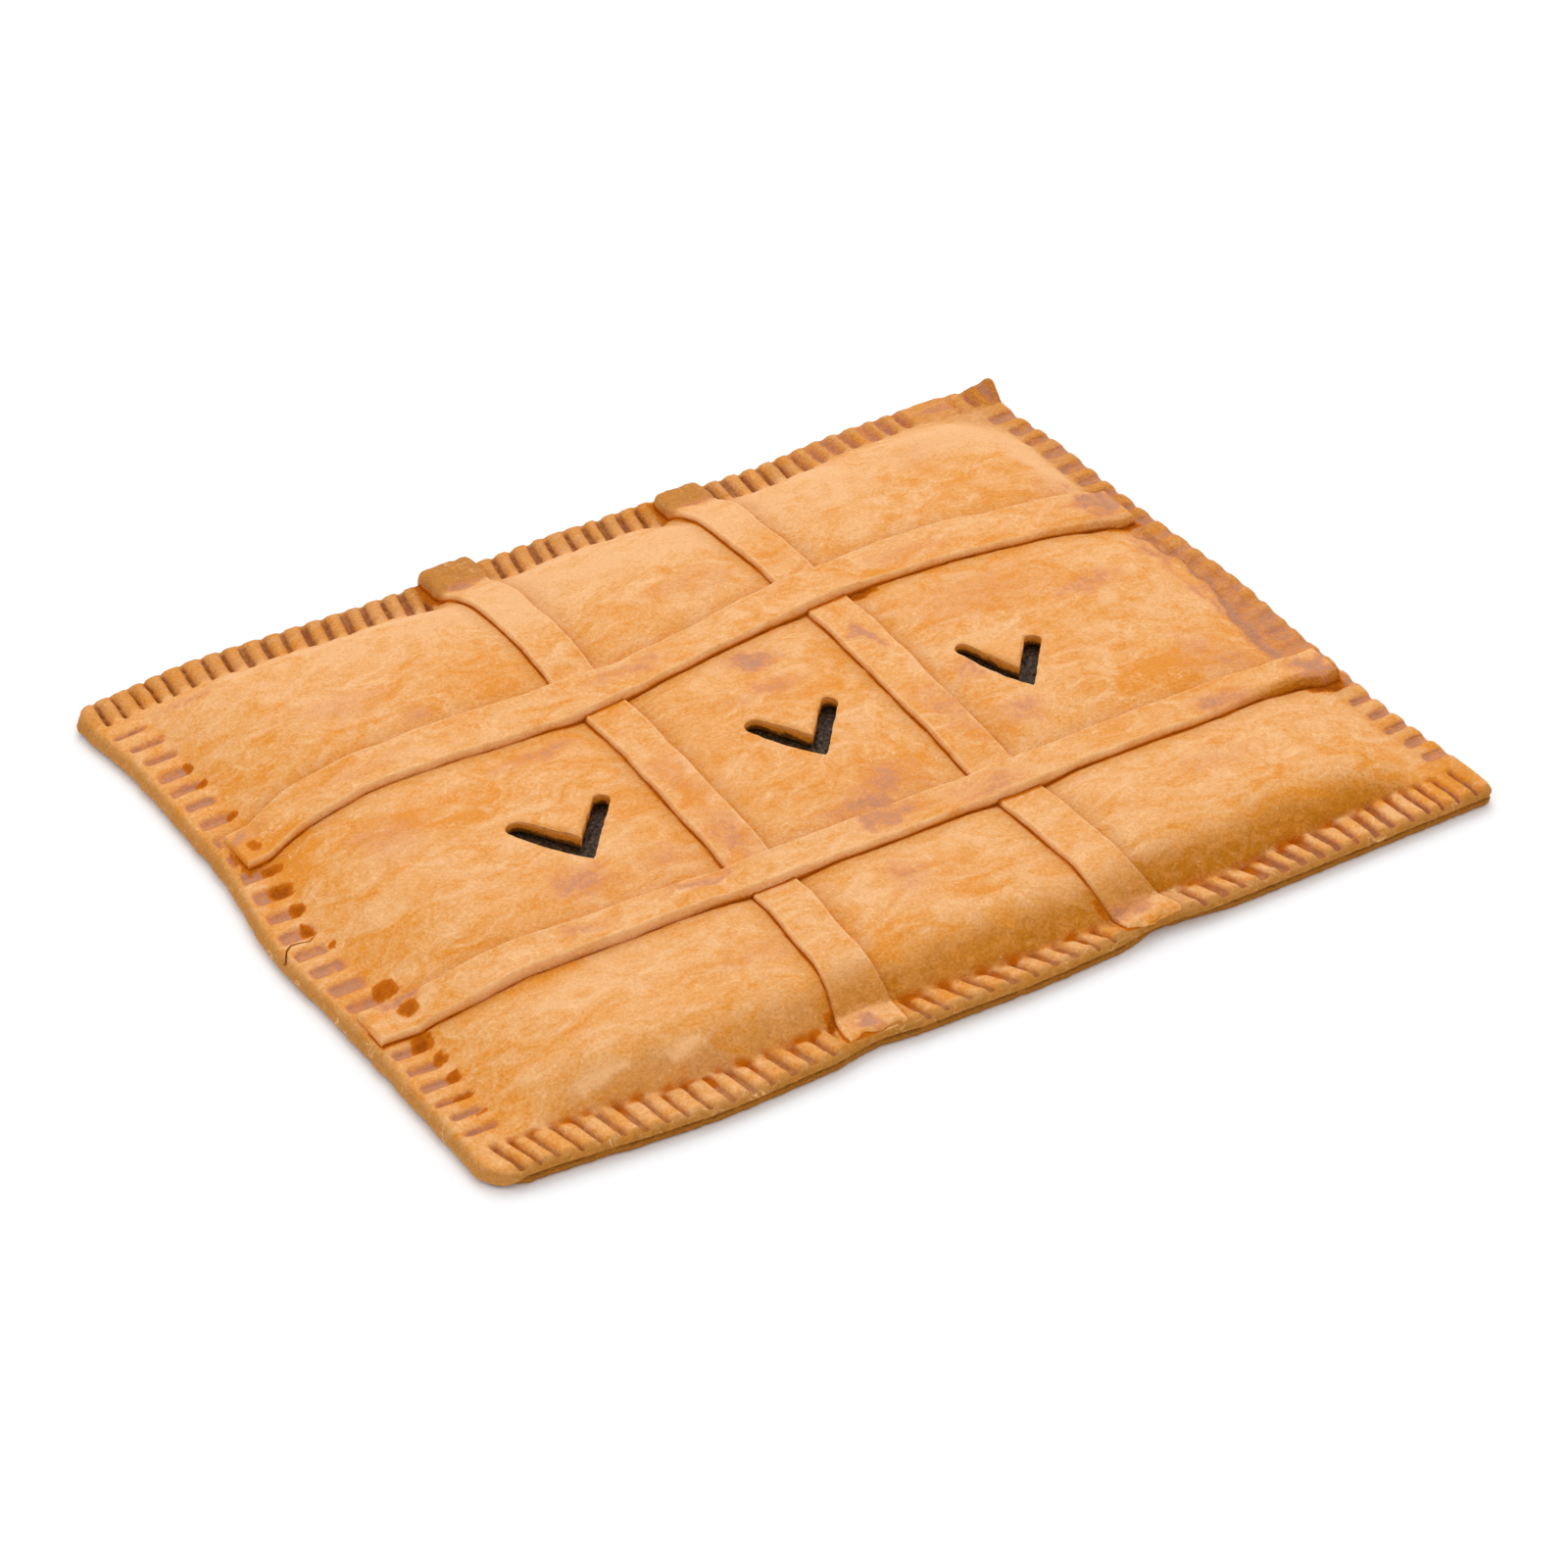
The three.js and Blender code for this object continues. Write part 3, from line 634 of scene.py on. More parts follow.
def lid_surface(x, y):
    """Height of the baked lid over a point of the plain rectangle, and the marks pressed into it."""
    inward = edge_distance(x, y)
    panel = smooth(inward, PANEL_START, PANEL_END)
    slack = smooth(inward, 9, 14) * fall(inward, 30, 45)
    slack_x = slack * SLACK * noise(x / 12, y / 12, 35)
    slack_y = slack * SLACK * noise(x / 9, y / 12, 36)
    height = baked_form(x + slack_x, y + slack_y)
    real_x, real_y = outlined(x, y)
    cover = strip_cover(real_x, real_y, 3)
    height = height + swell(x, y) * (RIM_SWELL + (1 - RIM_SWELL) * panel)
    height = height + bumps(real_x, real_y) * (1 - cover)
    pressed = np.zeros(np.shape(x))
    floors = {}
    for name, row in ROWS.items():
        press, floor, far_edge_shade = crimp(name, x, y)
        pressed = np.maximum(pressed, row["depth"] * press)
        floors[name] = floor * (1 - cover)
        floors[name + " edge"] = far_edge_shade * (1 - cover)
    height = height - pressed * (1 - cover) - HOLLOW_DEPTH * hollow(x, y)[0]
    height = height - STRIP_PRESS * smooth(cover, 0.6, 1)
    panel = panel * (1 - 0.85 * cover)

    # A crease where the front panels meet the ridges, and the rounded outer edge
    crease = np.exp(-((HALF_W + y - along(FRONT_FOOT, x)) / CREASE_WIDTH) ** 2)
    crease = crease * smooth(HALF_L - np.abs(x), 10, 18)
    crease = crease * np.clip(0.45 + 0.9 * noise(x / 6, y / 9, 37), 0, 1) * (1 - cover)
    height = height - CREASE_DEPTH * crease
    height = height - edge_fall(x, y)

    # Wrinkled front slopes, and small lumps everywhere
    steep = front_slope(x, y)
    wrinkles = np.abs(noise(x / 9 + 0.5 * noise(x / 23, y / 9, 31), y / 3.4, 32)) - 0.3
    height = height + WRINKLE_DEPTH * steep * panel * wrinkles
    height = height + panel * (0.2 * noise(x / 8, y / 7, 33) + 0.07 * noise(x / 3.5, y / 3.5, 34))
    height = height + 0.16 * (1 - panel) * noise(x / 4, y / 4, 38)

    # The tongues between the vents' arms curl up and round over at their cut edges.
    slot = slot_distance(real_x, real_y)
    tongue = flap(real_x, real_y)
    height = height + TONGUE_CURL * tongue
    height = height - (0.25 + 0.9 * tongue) * fall(slot, -0.3, 0.6 + 1.6 * tongue)
    return height, floors, crease


def deselect_all():
    bpy.ops.object.select_all(action="DESELECT")


def make_active(piece):
    deselect_all()
    piece.select_set(True)
    bpy.context.view_layer.objects.active = piece


def named(name):
    """The object that an operator has just added, under its own name."""
    piece = bpy.context.object
    piece.name = name
    piece.data.name = name
    return piece


def get_points(piece):
    flat = np.empty(len(piece.data.vertices) * 3, np.float32)
    piece.data.vertices.foreach_get("co", flat)
    return flat.reshape(-1, 3).astype(float)


def set_points(piece, points):
    piece.data.vertices.foreach_set("co", np.asarray(points, np.float32).ravel())
    piece.data.update()


def set_shape(piece, x, y, height):
    """Moves a piece's points to places in millimetres."""
    set_points(piece, np.stack((x, y, height), 1) * MM)


def flat_grid(name, columns, rows, half_x, half_y):
    """A flat grid of the given half sizes, in millimetres for now."""
    deselect_all()
    bpy.ops.mesh.primitive_grid_add(x_subdivisions=columns, y_subdivisions=rows, size=2)
    piece = named(name)
    set_points(piece, get_points(piece) * (half_x, half_y, 1))
    return piece


def sheet(name, cell, half_x, half_y):
    """A flat grid with cells of about the given size."""
    return flat_grid(name, round(2 * half_x / cell), round(2 * half_y / cell), half_x, half_y)


def subdivide_where(piece, wanted):
    """Splits the faces whose middles meet a condition on x and y."""
    mesh = piece.data
    middles = np.empty(len(mesh.polygons) * 3, np.float32)
    mesh.polygons.foreach_get("center", middles)
    middles = middles.reshape(-1, 3)
    make_active(piece)
    bpy.ops.object.mode_set(mode="EDIT")
    bpy.ops.mesh.select_mode(type="FACE")
    bpy.ops.mesh.select_all(action="DESELECT")
    bpy.ops.object.mode_set(mode="OBJECT")
    mesh.polygons.foreach_set("select", wanted(middles[:, 0], middles[:, 1]))
    bpy.ops.object.mode_set(mode="EDIT")
    bpy.ops.mesh.subdivide(number_cuts=1)
    bpy.ops.object.mode_set(mode="OBJECT")


def refine(piece, distance, reaches):
    """Splits the faces that lie within each reach, by a function for their distance."""
    for reach in reaches:
        subdivide_where(piece, lambda x, y: distance(x, y) < reach)


def face_outward(piece):
    make_active(piece)
    bpy.ops.object.mode_set(mode="EDIT")
    bpy.ops.mesh.select_all(action="SELECT")
    bpy.ops.mesh.normals_make_consistent(inside=False)
    bpy.ops.object.mode_set(mode="OBJECT")


def select_border():
    bpy.ops.mesh.select_mode(type="EDGE")
    bpy.ops.mesh.select_all(action="DESELECT")
    bpy.ops.mesh.select_non_manifold(
        extend=False, use_wire=False, use_boundary=True, use_multi_face=False,
        use_non_contiguous=False, use_verts=False,
    )


def add_side(piece, levels):
    """Extrudes the open border down one unit at a time, then closes it."""
    make_active(piece)
    bpy.ops.object.mode_set(mode="EDIT")
    select_border()
    for _ in range(levels):
        bpy.ops.mesh.extrude_edges_move(TRANSFORM_OT_translate={"value": (0, 0, -1)})
    bpy.ops.mesh.edge_face_add()
    bpy.ops.object.mode_set(mode="OBJECT")
    face_outward(piece)


def carve(piece, cutter):
    """Cuts a closed shape out of a piece and removes it."""
    make_active(piece)
    cut = piece.modifiers.new("cut", "BOOLEAN")
    cut.operation = "DIFFERENCE"
    cut.solver = "MANIFOLD"
    cut.object = cutter
    bpy.ops.object.modifier_apply(modifier=cut.name)
    bpy.data.objects.remove(cutter, do_unlink=True)


def add_marks(piece, marks):
    """Stores what the crust's colour depends on with each point."""
    for name, values in marks.items():
        layer = piece.data.attributes.new(name, "FLOAT", "POINT")
        layer.data.foreach_set("value", np.asarray(values, np.float32))


# The angle in degrees up to which a piece is shaded smoothly
DOUGH_SHARP = 50
STRIP_SHARP = 70
FILLING_SHARP = 180


def finish_piece(piece, node, material, sharp=DOUGH_SHARP):
    make_active(piece)
    bpy.ops.object.shade_smooth_by_angle(angle=math.radians(sharp))
    piece.data.materials.clear()
    piece.data.materials.append(material)
    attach(piece, "root")
    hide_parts(node)


def outward(x, y):
    """Unit direction out of the plain rectangle for points on its border."""
    out_x = np.where(np.abs(x) > HALF_L - 0.01, np.sign(x), 0.0)
    out_y = np.where(np.abs(y) > HALF_W - 0.01, np.sign(y), 0.0)
    length = np.maximum(np.hypot(out_x, out_y), 1)
    return out_x / length, out_y / length


# How far the marks of two rows draw the outline in, and how far in from the edge that reaches
SCALLOPS = {"back": 1.6, "right": 0.7}
SCALLOP_REACH = 6


def scallop(x, y):
    """How far the marks that run out through the edge draw the outline in."""
    drawn = np.zeros(np.shape(x))
    for name, depth in SCALLOPS.items():
        _, inward = row_places(name, x, y)
        drawn = np.maximum(drawn, depth * crimp(name, x, y)[0] * fall(inward, 0, SCALLOP_REACH))
    return drawn


# The lid: a flat grid, finer along the rim and round the vents, set to its height and outline
LID_CELL = 2
CAVITY_CELL = 6
FINE_RIM = 19
FINE_VENT = 5
FINEST_FRONT = 16
FINEST_VENT = 2.2
SKIRT_START = 2
SKIRT_END = 12
# Down the lid's side: how far down, and how far out of the edge, with the last one turned in below
SIDE_LEVELS = ((0.2, 0.28), (0.45, 0.5), (0.75, 0.4), (1, -0.1), (1, -2.6))


def beside_strip(x, y):
    """True just outside a strip's long edges, where the lid shows the painted shadow in their gutters."""
    x, y = outlined(x, y)
    cover, core = strip_cover(x, y, 3), strip_cover(x, y, 0.01)
    return (cover > 0.02) & (core < 0.5)


def is_fine(x, y):
    return (edge_distance(x, y) < FINE_RIM) | (slot_distance(x, y) < FINE_VENT) | beside_strip(x, y)


def is_finest(x, y):
    return (HALF_W + y < FINEST_FRONT) | (slot_distance(x, y) < FINEST_VENT)


def lid_blank():
    lid = sheet("lid", LID_CELL, HALF_L, HALF_W)
    subdivide_where(lid, is_fine)
    subdivide_where(lid, is_finest)
    add_side(lid, len(SIDE_LEVELS))
    return lid


def skirt(x):
    """1 on the left edge, where the lid wraps down over the base."""
    return fall(HALF_L + x, SKIRT_START, SKIRT_END)


def shape_lid(lid):
    x, y, z = get_points(lid).T
    level = np.round(-z)
    top, _, _ = lid_surface(x, y)
    out_x, out_y = outward(x, y)
    wrap = skirt(x)
    ragged = 0.25 * wave(x / 3 + y / 3, 41) + 0.3 * wave(x / 11 - y / 11, 42)
    belly = 1 + 0.7 * wave(x / 8 + y / 8, 43) + 0.5 * wave(x / 2.5 + y / 2.5, 44)
    lower = SEAM + 0.1 + 0.25 * ragged + wrap * (0.9 - SEAM)
    height, bulge = top, np.zeros(len(x))
    for number, (down, out) in enumerate(SIDE_LEVELS, 1):
        pushed = out * belly * (1 + wrap) if out > 0 else out + 0.5 * ragged
        height = np.where(level == number, top + (lower - top) * down, height)
        bulge = np.where(level == number, pushed, bulge)
    height = np.where(level == len(SIDE_LEVELS), SEAM, height)
    bulge = bulge - scallop(x, y) * (edge_distance(x, y) < SCALLOP_REACH)
    moved_x, moved_y = outlined(x, y)
    on_border = level > 0
    moved_x = moved_x + np.where(on_border, out_x * bulge, 0)
    moved_y = moved_y + np.where(on_border, out_y * bulge, 0)
    set_shape(lid, moved_x, moved_y, height)


def cavity():
    """The room under the lid that the filling takes up."""
    half_x, half_y = HALF_L - FILLING_INSET + GAP, HALF_W - FILLING_INSET + GAP
    block = sheet("cavity", CAVITY_CELL, half_x, half_y)
    add_side(block, 1)
    x, y, z = get_points(block).T
    top = lid_form(x, y) - LID_THICK
    set_shape(block, *outlined(x, y), np.where(z < 0, 0.5 * SEAM, top))
    return block


def crossing_point(first, first_direction, second, second_direction):
    matrix = np.array((first_direction, -second_direction)).T
    share = np.linalg.solve(matrix, second - first)
    return first + first_direction * share[0]


ARC_STEPS = 7
EDGE_STEP = 1.2
APEX_BLUNT = 2.2
VENT_BOW = 1.4


def vent_outline(vent):
    """Corner points of a V-shaped slot with round ends, from its outer apex round by the right-hand arm."""
    apex, arms = vent_lines(vent)
    (left, left_normal, _, left_half), (right, right_normal, _, right_half) = arms
    outer = crossing_point(apex + left_normal * left_half, left, apex - right_normal * right_half, right)
    inner = crossing_point(apex - left_normal * left_half, left, apex + right_normal * right_half, right)
    turns = [math.pi * step / ARC_STEPS for step in range(ARC_STEPS + 1)]

    def arm_end(direction, normal, length, half):
        end = apex + direction * (length - half)
        return [end - normal * half * math.cos(turn) + direction * half * math.sin(turn) for turn in turns]

    blunt = [outer + left * APEX_BLUNT, outer + (left + right) * APEX_BLUNT / 5, outer + right * APEX_BLUNT]
    return [*blunt, *arm_end(*arms[1]), inner, *arm_end(*arms[0])]


def prism(name, outline, low, high):
    """A closed upright block over an outline, as a cutter."""
    deselect_all()
    bpy.ops.mesh.primitive_circle_add(vertices=len(outline), fill_type="NGON")
    block = named(name)
    bpy.ops.object.mode_set(mode="EDIT")
    bpy.ops.mesh.select_all(action="SELECT")
    bpy.ops.mesh.extrude_region_move(TRANSFORM_OT_translate={"value": (0, 0, 1)})
    bpy.ops.object.mode_set(mode="OBJECT")
    x, y, z = get_points(block).T
    turn = np.arctan2(y, x)
    order = np.round((turn - turn[0]) / math.tau * len(outline)).astype(int) % len(outline)
    set_shape(block, *np.array(outline)[order].T, np.where(z > 0.5, high, low))
    face_outward(block)
    return block


def vent_cutter(vent, index):
    corners = vent_outline(vent)
    near_normal = vent_lines(vent)[1][0][1]
    points = []
    for number, (start, end) in enumerate(zip(corners, corners[1:] + corners[:1])):
        count = max(1, round(np.linalg.norm(end - start) / EDGE_STEP))
        bow = VENT_BOW if number == len(corners) - 1 else 0
        for step in range(count):
            share = step / count
            points.append(start + (end - start) * share + near_normal * bow * 4 * share * (1 - share))
    x, y = np.array(points).T
    uneven = 0.3 * np.stack((noise(x / 4, y / 4, 51 + index), noise(x / 4, y / 4, 61 + index)), 1)
    return prism(f"vent_cutter_{index}", np.array(points) + uneven, SEAM + 1, 2 * PLATEAU)


# The crack in the left rim: x, y and half width along it
CRACK = (
    (-197, -14.5, 0.9), (-193.5, -14.5, 0.8), (-191.5, -15, 0.7), (-189.5, -11.8, 0.55),
    (-187, -10.3, 0.5), (-184, -10.7, 0.45), (-181, -11.6, 0.35), (-178, -9.8, 0.12),
)


def crack_cutter():
    near = [(x, y - half) for x, y, half in CRACK]
    far = [(x, y + half) for x, y, half in reversed(CRACK)]
    return prism("crack_cutter", near + far, SEAM + 0.6, 2 * RIM_TOP)


# How brown the front slope is, by place along it
SLOPE_TOAST = ((-192, 0.32), (-70, 0.38), (0, 0.66), (110, 0.74), (150, 0.9), (192, 1))


def mark_lid(lid):
    real_x, real_y, real_z = get_points(lid).T / MM
    x, y = nominal(real_x, real_y)
    top, floors, crease = lid_surface(x, y)
    below = top - real_z
    on_top = fall(below + 1.1 * edge_fall(x, y), 0.2, 1.3)
    slot = slot_distance(real_x, real_y)
    # How far down a vent's wall a point lies; the colour paints light high on the walls and shade deeper
    # down
    cut = fall(slot, 1.2, 2.2) * np.clip((below - 0.3) / 3, 0, 1)
    cover = strip_cover(real_x, real_y, 1.6)
    # Painted shade on the lid round the strips
    near_strip_shade = strip_cover(real_x, real_y, 9)
    inward = edge_distance(x, y)
    foot = along(FRONT_FOOT, x)
    above_foot = smooth(HALF_W + y - foot, -0.5, 1.5)
    tone_and_shade = toned_and_shaded(real_x, real_y)
    slope = front_slope(x, y) ** 1.4 * above_foot * along(SLOPE_TOAST, x) * fall(tone_and_shade, 0.3, 0.7)

    # Prints of the crimps: reddish at the left, right and back right, brown in the front and back. Their
    # mauve, and the hollow's, is partly the glaze's colour and partly a painted reflection of pale light.
    uneven = np.clip(0.9 + 0.35 * noise(x / 4, y / 4, 92) + 0.2 * noise(x / 1.8, y / 1.8, 93), 0, 1.1)
    right_back = smooth(x, 85, 120) * floors["back"]
    left_back = floors["back"] - right_back
    inner_ends = floors["front"] * smooth(HALF_W + y, foot - 7, foot - 2)
    inner_ends = inner_ends * np.clip(0.5 + wave(x / 13, 94), 0, 1)
    sunk, sunk_side = hollow(x, y)
    prints = np.maximum(floors["left"], floors["right"])
    mauve = np.maximum.reduce((prints, 0.8 * right_back, 0.5 * sunk, 1.1 * sunk_side)) * uneven
    mauve = np.maximum(mauve, 0.6 * floors["front"] * smooth(x, 40, 100))
    mauve = np.maximum(mauve, stained(real_x, real_y, LID_STAINS, 91))
    # Painted shade along the far edges of the left and right prints
    edges = 0.8 * floors["right edge"] + 0.3 * floors["left edge"]
    back_prints = 1.1 * left_back + 0.4 * right_back
    groove = np.maximum.reduce((0.85 * floors["front"], back_prints, edges, 0.4 * sunk_side))

    # Browned rims, a band of painted shade on the left wall, and painted shadow beside the strips
    right_rim = fall(HALF_L - x, 10, 15) * (0.12 + 0.25 * smooth(y, -80, -40))
    back_rim = 0.3 * fall(HALF_W - y, 12, 16)
    corner = 0.3 * (1 - corner_share(x, y)) * smooth(inward, CORNER_RIM - 1, CORNER_RIM + 1)
    left_wall = fall(HALF_L + x, 3, 9)
    front_band = 0.7 * fall(HALF_W + y, 0.8, 3.2) * smooth(HALF_L + x, 4, 12)
    tongue_edge = flap(real_x, real_y) * fall(slot, 0.1, 1.3)
    fallen = below + edge_fall(x, y)
    # A band of painted shade just below the top of the left wall, which turns away from the light
    wall = skirt(x) * smooth(fallen, 0.8, 2) * fall(fallen, 3.6, 5.2)
    # Caramel spots, some of them painted shadow beside the strips' lifted ends
    spots = caramel_and_shadow(real_x, real_y, LID_CARAMEL_AND_SHADOW)
    # Painted shadow in the gaps along the strips' near and left-hand edges
    long_gutter_shadows = gutter_shadow(LONG_STRIPS, LONG_GUTTER_SHADOW, real_x, real_y)
    gutters = np.maximum(long_gutter_shadows, 0.7 * gutter_shadow(SHORT_STRIPS, SHORT_GUTTER_SHADOW, real_y, real_x))
    add_marks(lid, {
        "mauve": mauve * on_top,
        "groove": groove * on_top,
        "toast": np.clip(slope + 0.25 * near_strip_shade + 0.4 * tongue_edge + back_rim + right_rim + corner
                         + 0.7 * sunk_side, 0, 1),
        # Caramel, with painted shadow in the gaps beside the strips and under their lifted ends
        "caramel_and_shadow": np.maximum.reduce((spots, 0.6 * crease, gutters, 0.6 * inner_ends)) * on_top,
        "tone_and_shade": tone_and_shade * on_top,
        "cut": cut,
        "side": np.maximum((1 - on_top) * (1 - cut) * (1 - 0.5 * left_wall), front_band),
        "wall": wall,
        "dry": np.clip(0.5 * slope + (1 - on_top) + 0.6 * cover + 0.4 * fall(inward, 10, 16), 0, 1),
    })


def make_lid():
    lid = lid_blank()
    shape_lid(lid)
    carve(lid, cavity())
    carve(lid, crack_cutter())
    for index, vent in enumerate(VENTS):
        carve(lid, vent_cutter(vent, index))
    mark_lid(lid)
    return lid


# The base: a flat grid with a ragged low wall, which draws in under the lid's left edge and at a notch
BASE_CELL = 4
BASE_FINE = (4.1, 2.1)
BASE_NOTCH = 1.6
BASE_LEFT_INSET = 3.2
# Down the base's side: height and how ragged it is, then how far out of the edge and how ragged that is
BASE_LEVELS = (
    (BASE_THICK - 0.1, 0, -0.8, 0.4),
    (2.4, 0.3, 0.1, 0.8),
    (0.9, 0.2, -0.2, 0.7),
    (0, 0, -1.4, 0.4),
)


def make_base():
    base = sheet("base", BASE_CELL, HALF_L, HALF_W)
    refine(base, edge_distance, BASE_FINE)
    add_side(base, len(BASE_LEVELS) - 1)
    x, y, z = get_points(base).T
    level = np.round(-z).astype(int)
    out_x, out_y = outward(x, y)
    spread = x + y
    ragged = 0.7 * wave(spread / 2.6, 61) + 0.8 * wave(spread / 9, 62)
    notch = BASE_NOTCH * smooth(x, 46, 56) * fall(x, 72, 86) * (y < 0)
    height, height_ragged, out, out_ragged = np.array(BASE_LEVELS)[level].T
    height = height + height_ragged * ragged
    bulge = out + out_ragged * ragged - notch - BASE_LEFT_INSET * skirt(x)
    moved_x, moved_y = outlined(x, y)
    set_shape(base, moved_x + out_x * bulge, moved_y + out_y * bulge, height)
    whole = np.ones(len(x))
    add_marks(base, {"side": whole, "toast": 0.9 * whole, "dry": whole})
    return base


# The filling: coarse under the lid, grainy where the vents show it
FILLING_CELL = 4
FILLING_FINE = (6, 3, 1.5)


def make_filling():
    half_x, half_y = HALF_L - FILLING_INSET, HALF_W - FILLING_INSET
    filling = sheet("filling_layer", FILLING_CELL, half_x, half_y)
    refine(filling, slot_distance, FILLING_FINE)
    add_side(filling, 1)
    x, y, z = get_points(filling).T
    near = fall(slot_distance(x, y), 0, 4)
    grains = np.abs(noise(x / 2.4, y / 2.1, 71)) + 0.5 * np.abs(noise(x / 1.1, y / 1.2, 72))
    top = lid_form(x, y) - LID_THICK - GAP - near * (0.6 + 1.1 * grains)
    set_shape(filling, *outlined(x, y), np.where(z < 0, SEAM, top))
    return filling


# The strips: grids with close rows at their rounded edges, laid over the lid
STRIP_SINK = 0.6
STRIP_SETTLED = 0.62
STRIP_DRAW_DOWN = 0.2
STRIP_JOIN = 0.004
TAB_START = 129
TAB_RISE = 1.2
TAB_CORNER = 6
STRIP_ROUND = 1.0
TAB_ROUND = 2.6
STRIP_ROUND_POWER = 2.4
BEAD_RISE = 0.14
BEAD_PLACE = 1.0
BEAD_WIDTH = 0.7
STRIP_STEP = 1.2
EDGE_ROWS = (0, 0.03, 0.1, 0.25, 0.5, 0.85, 1.3, 2.1)


def rounded(from_edge, radius):
    """Rises steeply from 0 at a strip's edge and rounds over to 1."""
    t = np.clip(from_edge / radius, 0, 1)
    return (1 - (1 - t) ** STRIP_ROUND_POWER) ** (1 / STRIP_ROUND_POWER)


def spaced(length, step):
    """Places from 0 to length, close together at both ends."""
    inner = length - 2 * EDGE_ROWS[-1]
    count = max(2, round(inner / step))
    middle = EDGE_ROWS[-1] + inner * np.arange(1, count) / count
    return np.concatenate((EDGE_ROWS, middle, length - np.array(EDGE_ROWS[::-1])))


def nearest_crossing(strips, place):
    offs = [np.abs(place - along(strip["centre"], 0)) for strip in strips]
    return fall(np.minimum(*offs), CROSSING_REACH / 3, CROSSING_REACH)


def strip_bed(x, y):
    """The height that a strip lies at."""
    flat_x, flat_y = nominal(x, y)
    panel = smooth(edge_distance(flat_x, flat_y), PANEL_START + 2, PANEL_END + 2)
    return baked_form(flat_x, flat_y) + swell(flat_x, flat_y) * (RIM_SWELL + (1 - RIM_SWELL) * panel)


def close_below(piece, strip, is_long):
    """Draws the open border of a strip down and in to its centre line, and joins it there."""
    top_count = len(piece.data.vertices)
    make_active(piece)
    bpy.ops.object.mode_set(mode="EDIT")
    select_border()
    bpy.ops.mesh.extrude_edges_move(TRANSFORM_OT_translate={"value": (0, 0, -STRIP_DRAW_DOWN * MM)})
    bpy.ops.object.mode_set(mode="OBJECT")
    x, y, z = get_points(piece).T / MM
    new = np.arange(len(x)) >= top_count
    if is_long:
        y = np.where(new, along(strip["centre"], x), y)
    else:
        x = np.where(new, along(strip["centre"], y), x)
    set_shape(piece, x, y, np.where(new, strip_bed(x, y) - 2 * STRIP_SINK, z))
    bpy.ops.object.mode_set(mode="EDIT")
    bpy.ops.mesh.select_all(action="SELECT")
    bpy.ops.mesh.remove_doubles(threshold=STRIP_JOIN * MM)
    bpy.ops.object.mode_set(mode="OBJECT")
    face_outward(piece)


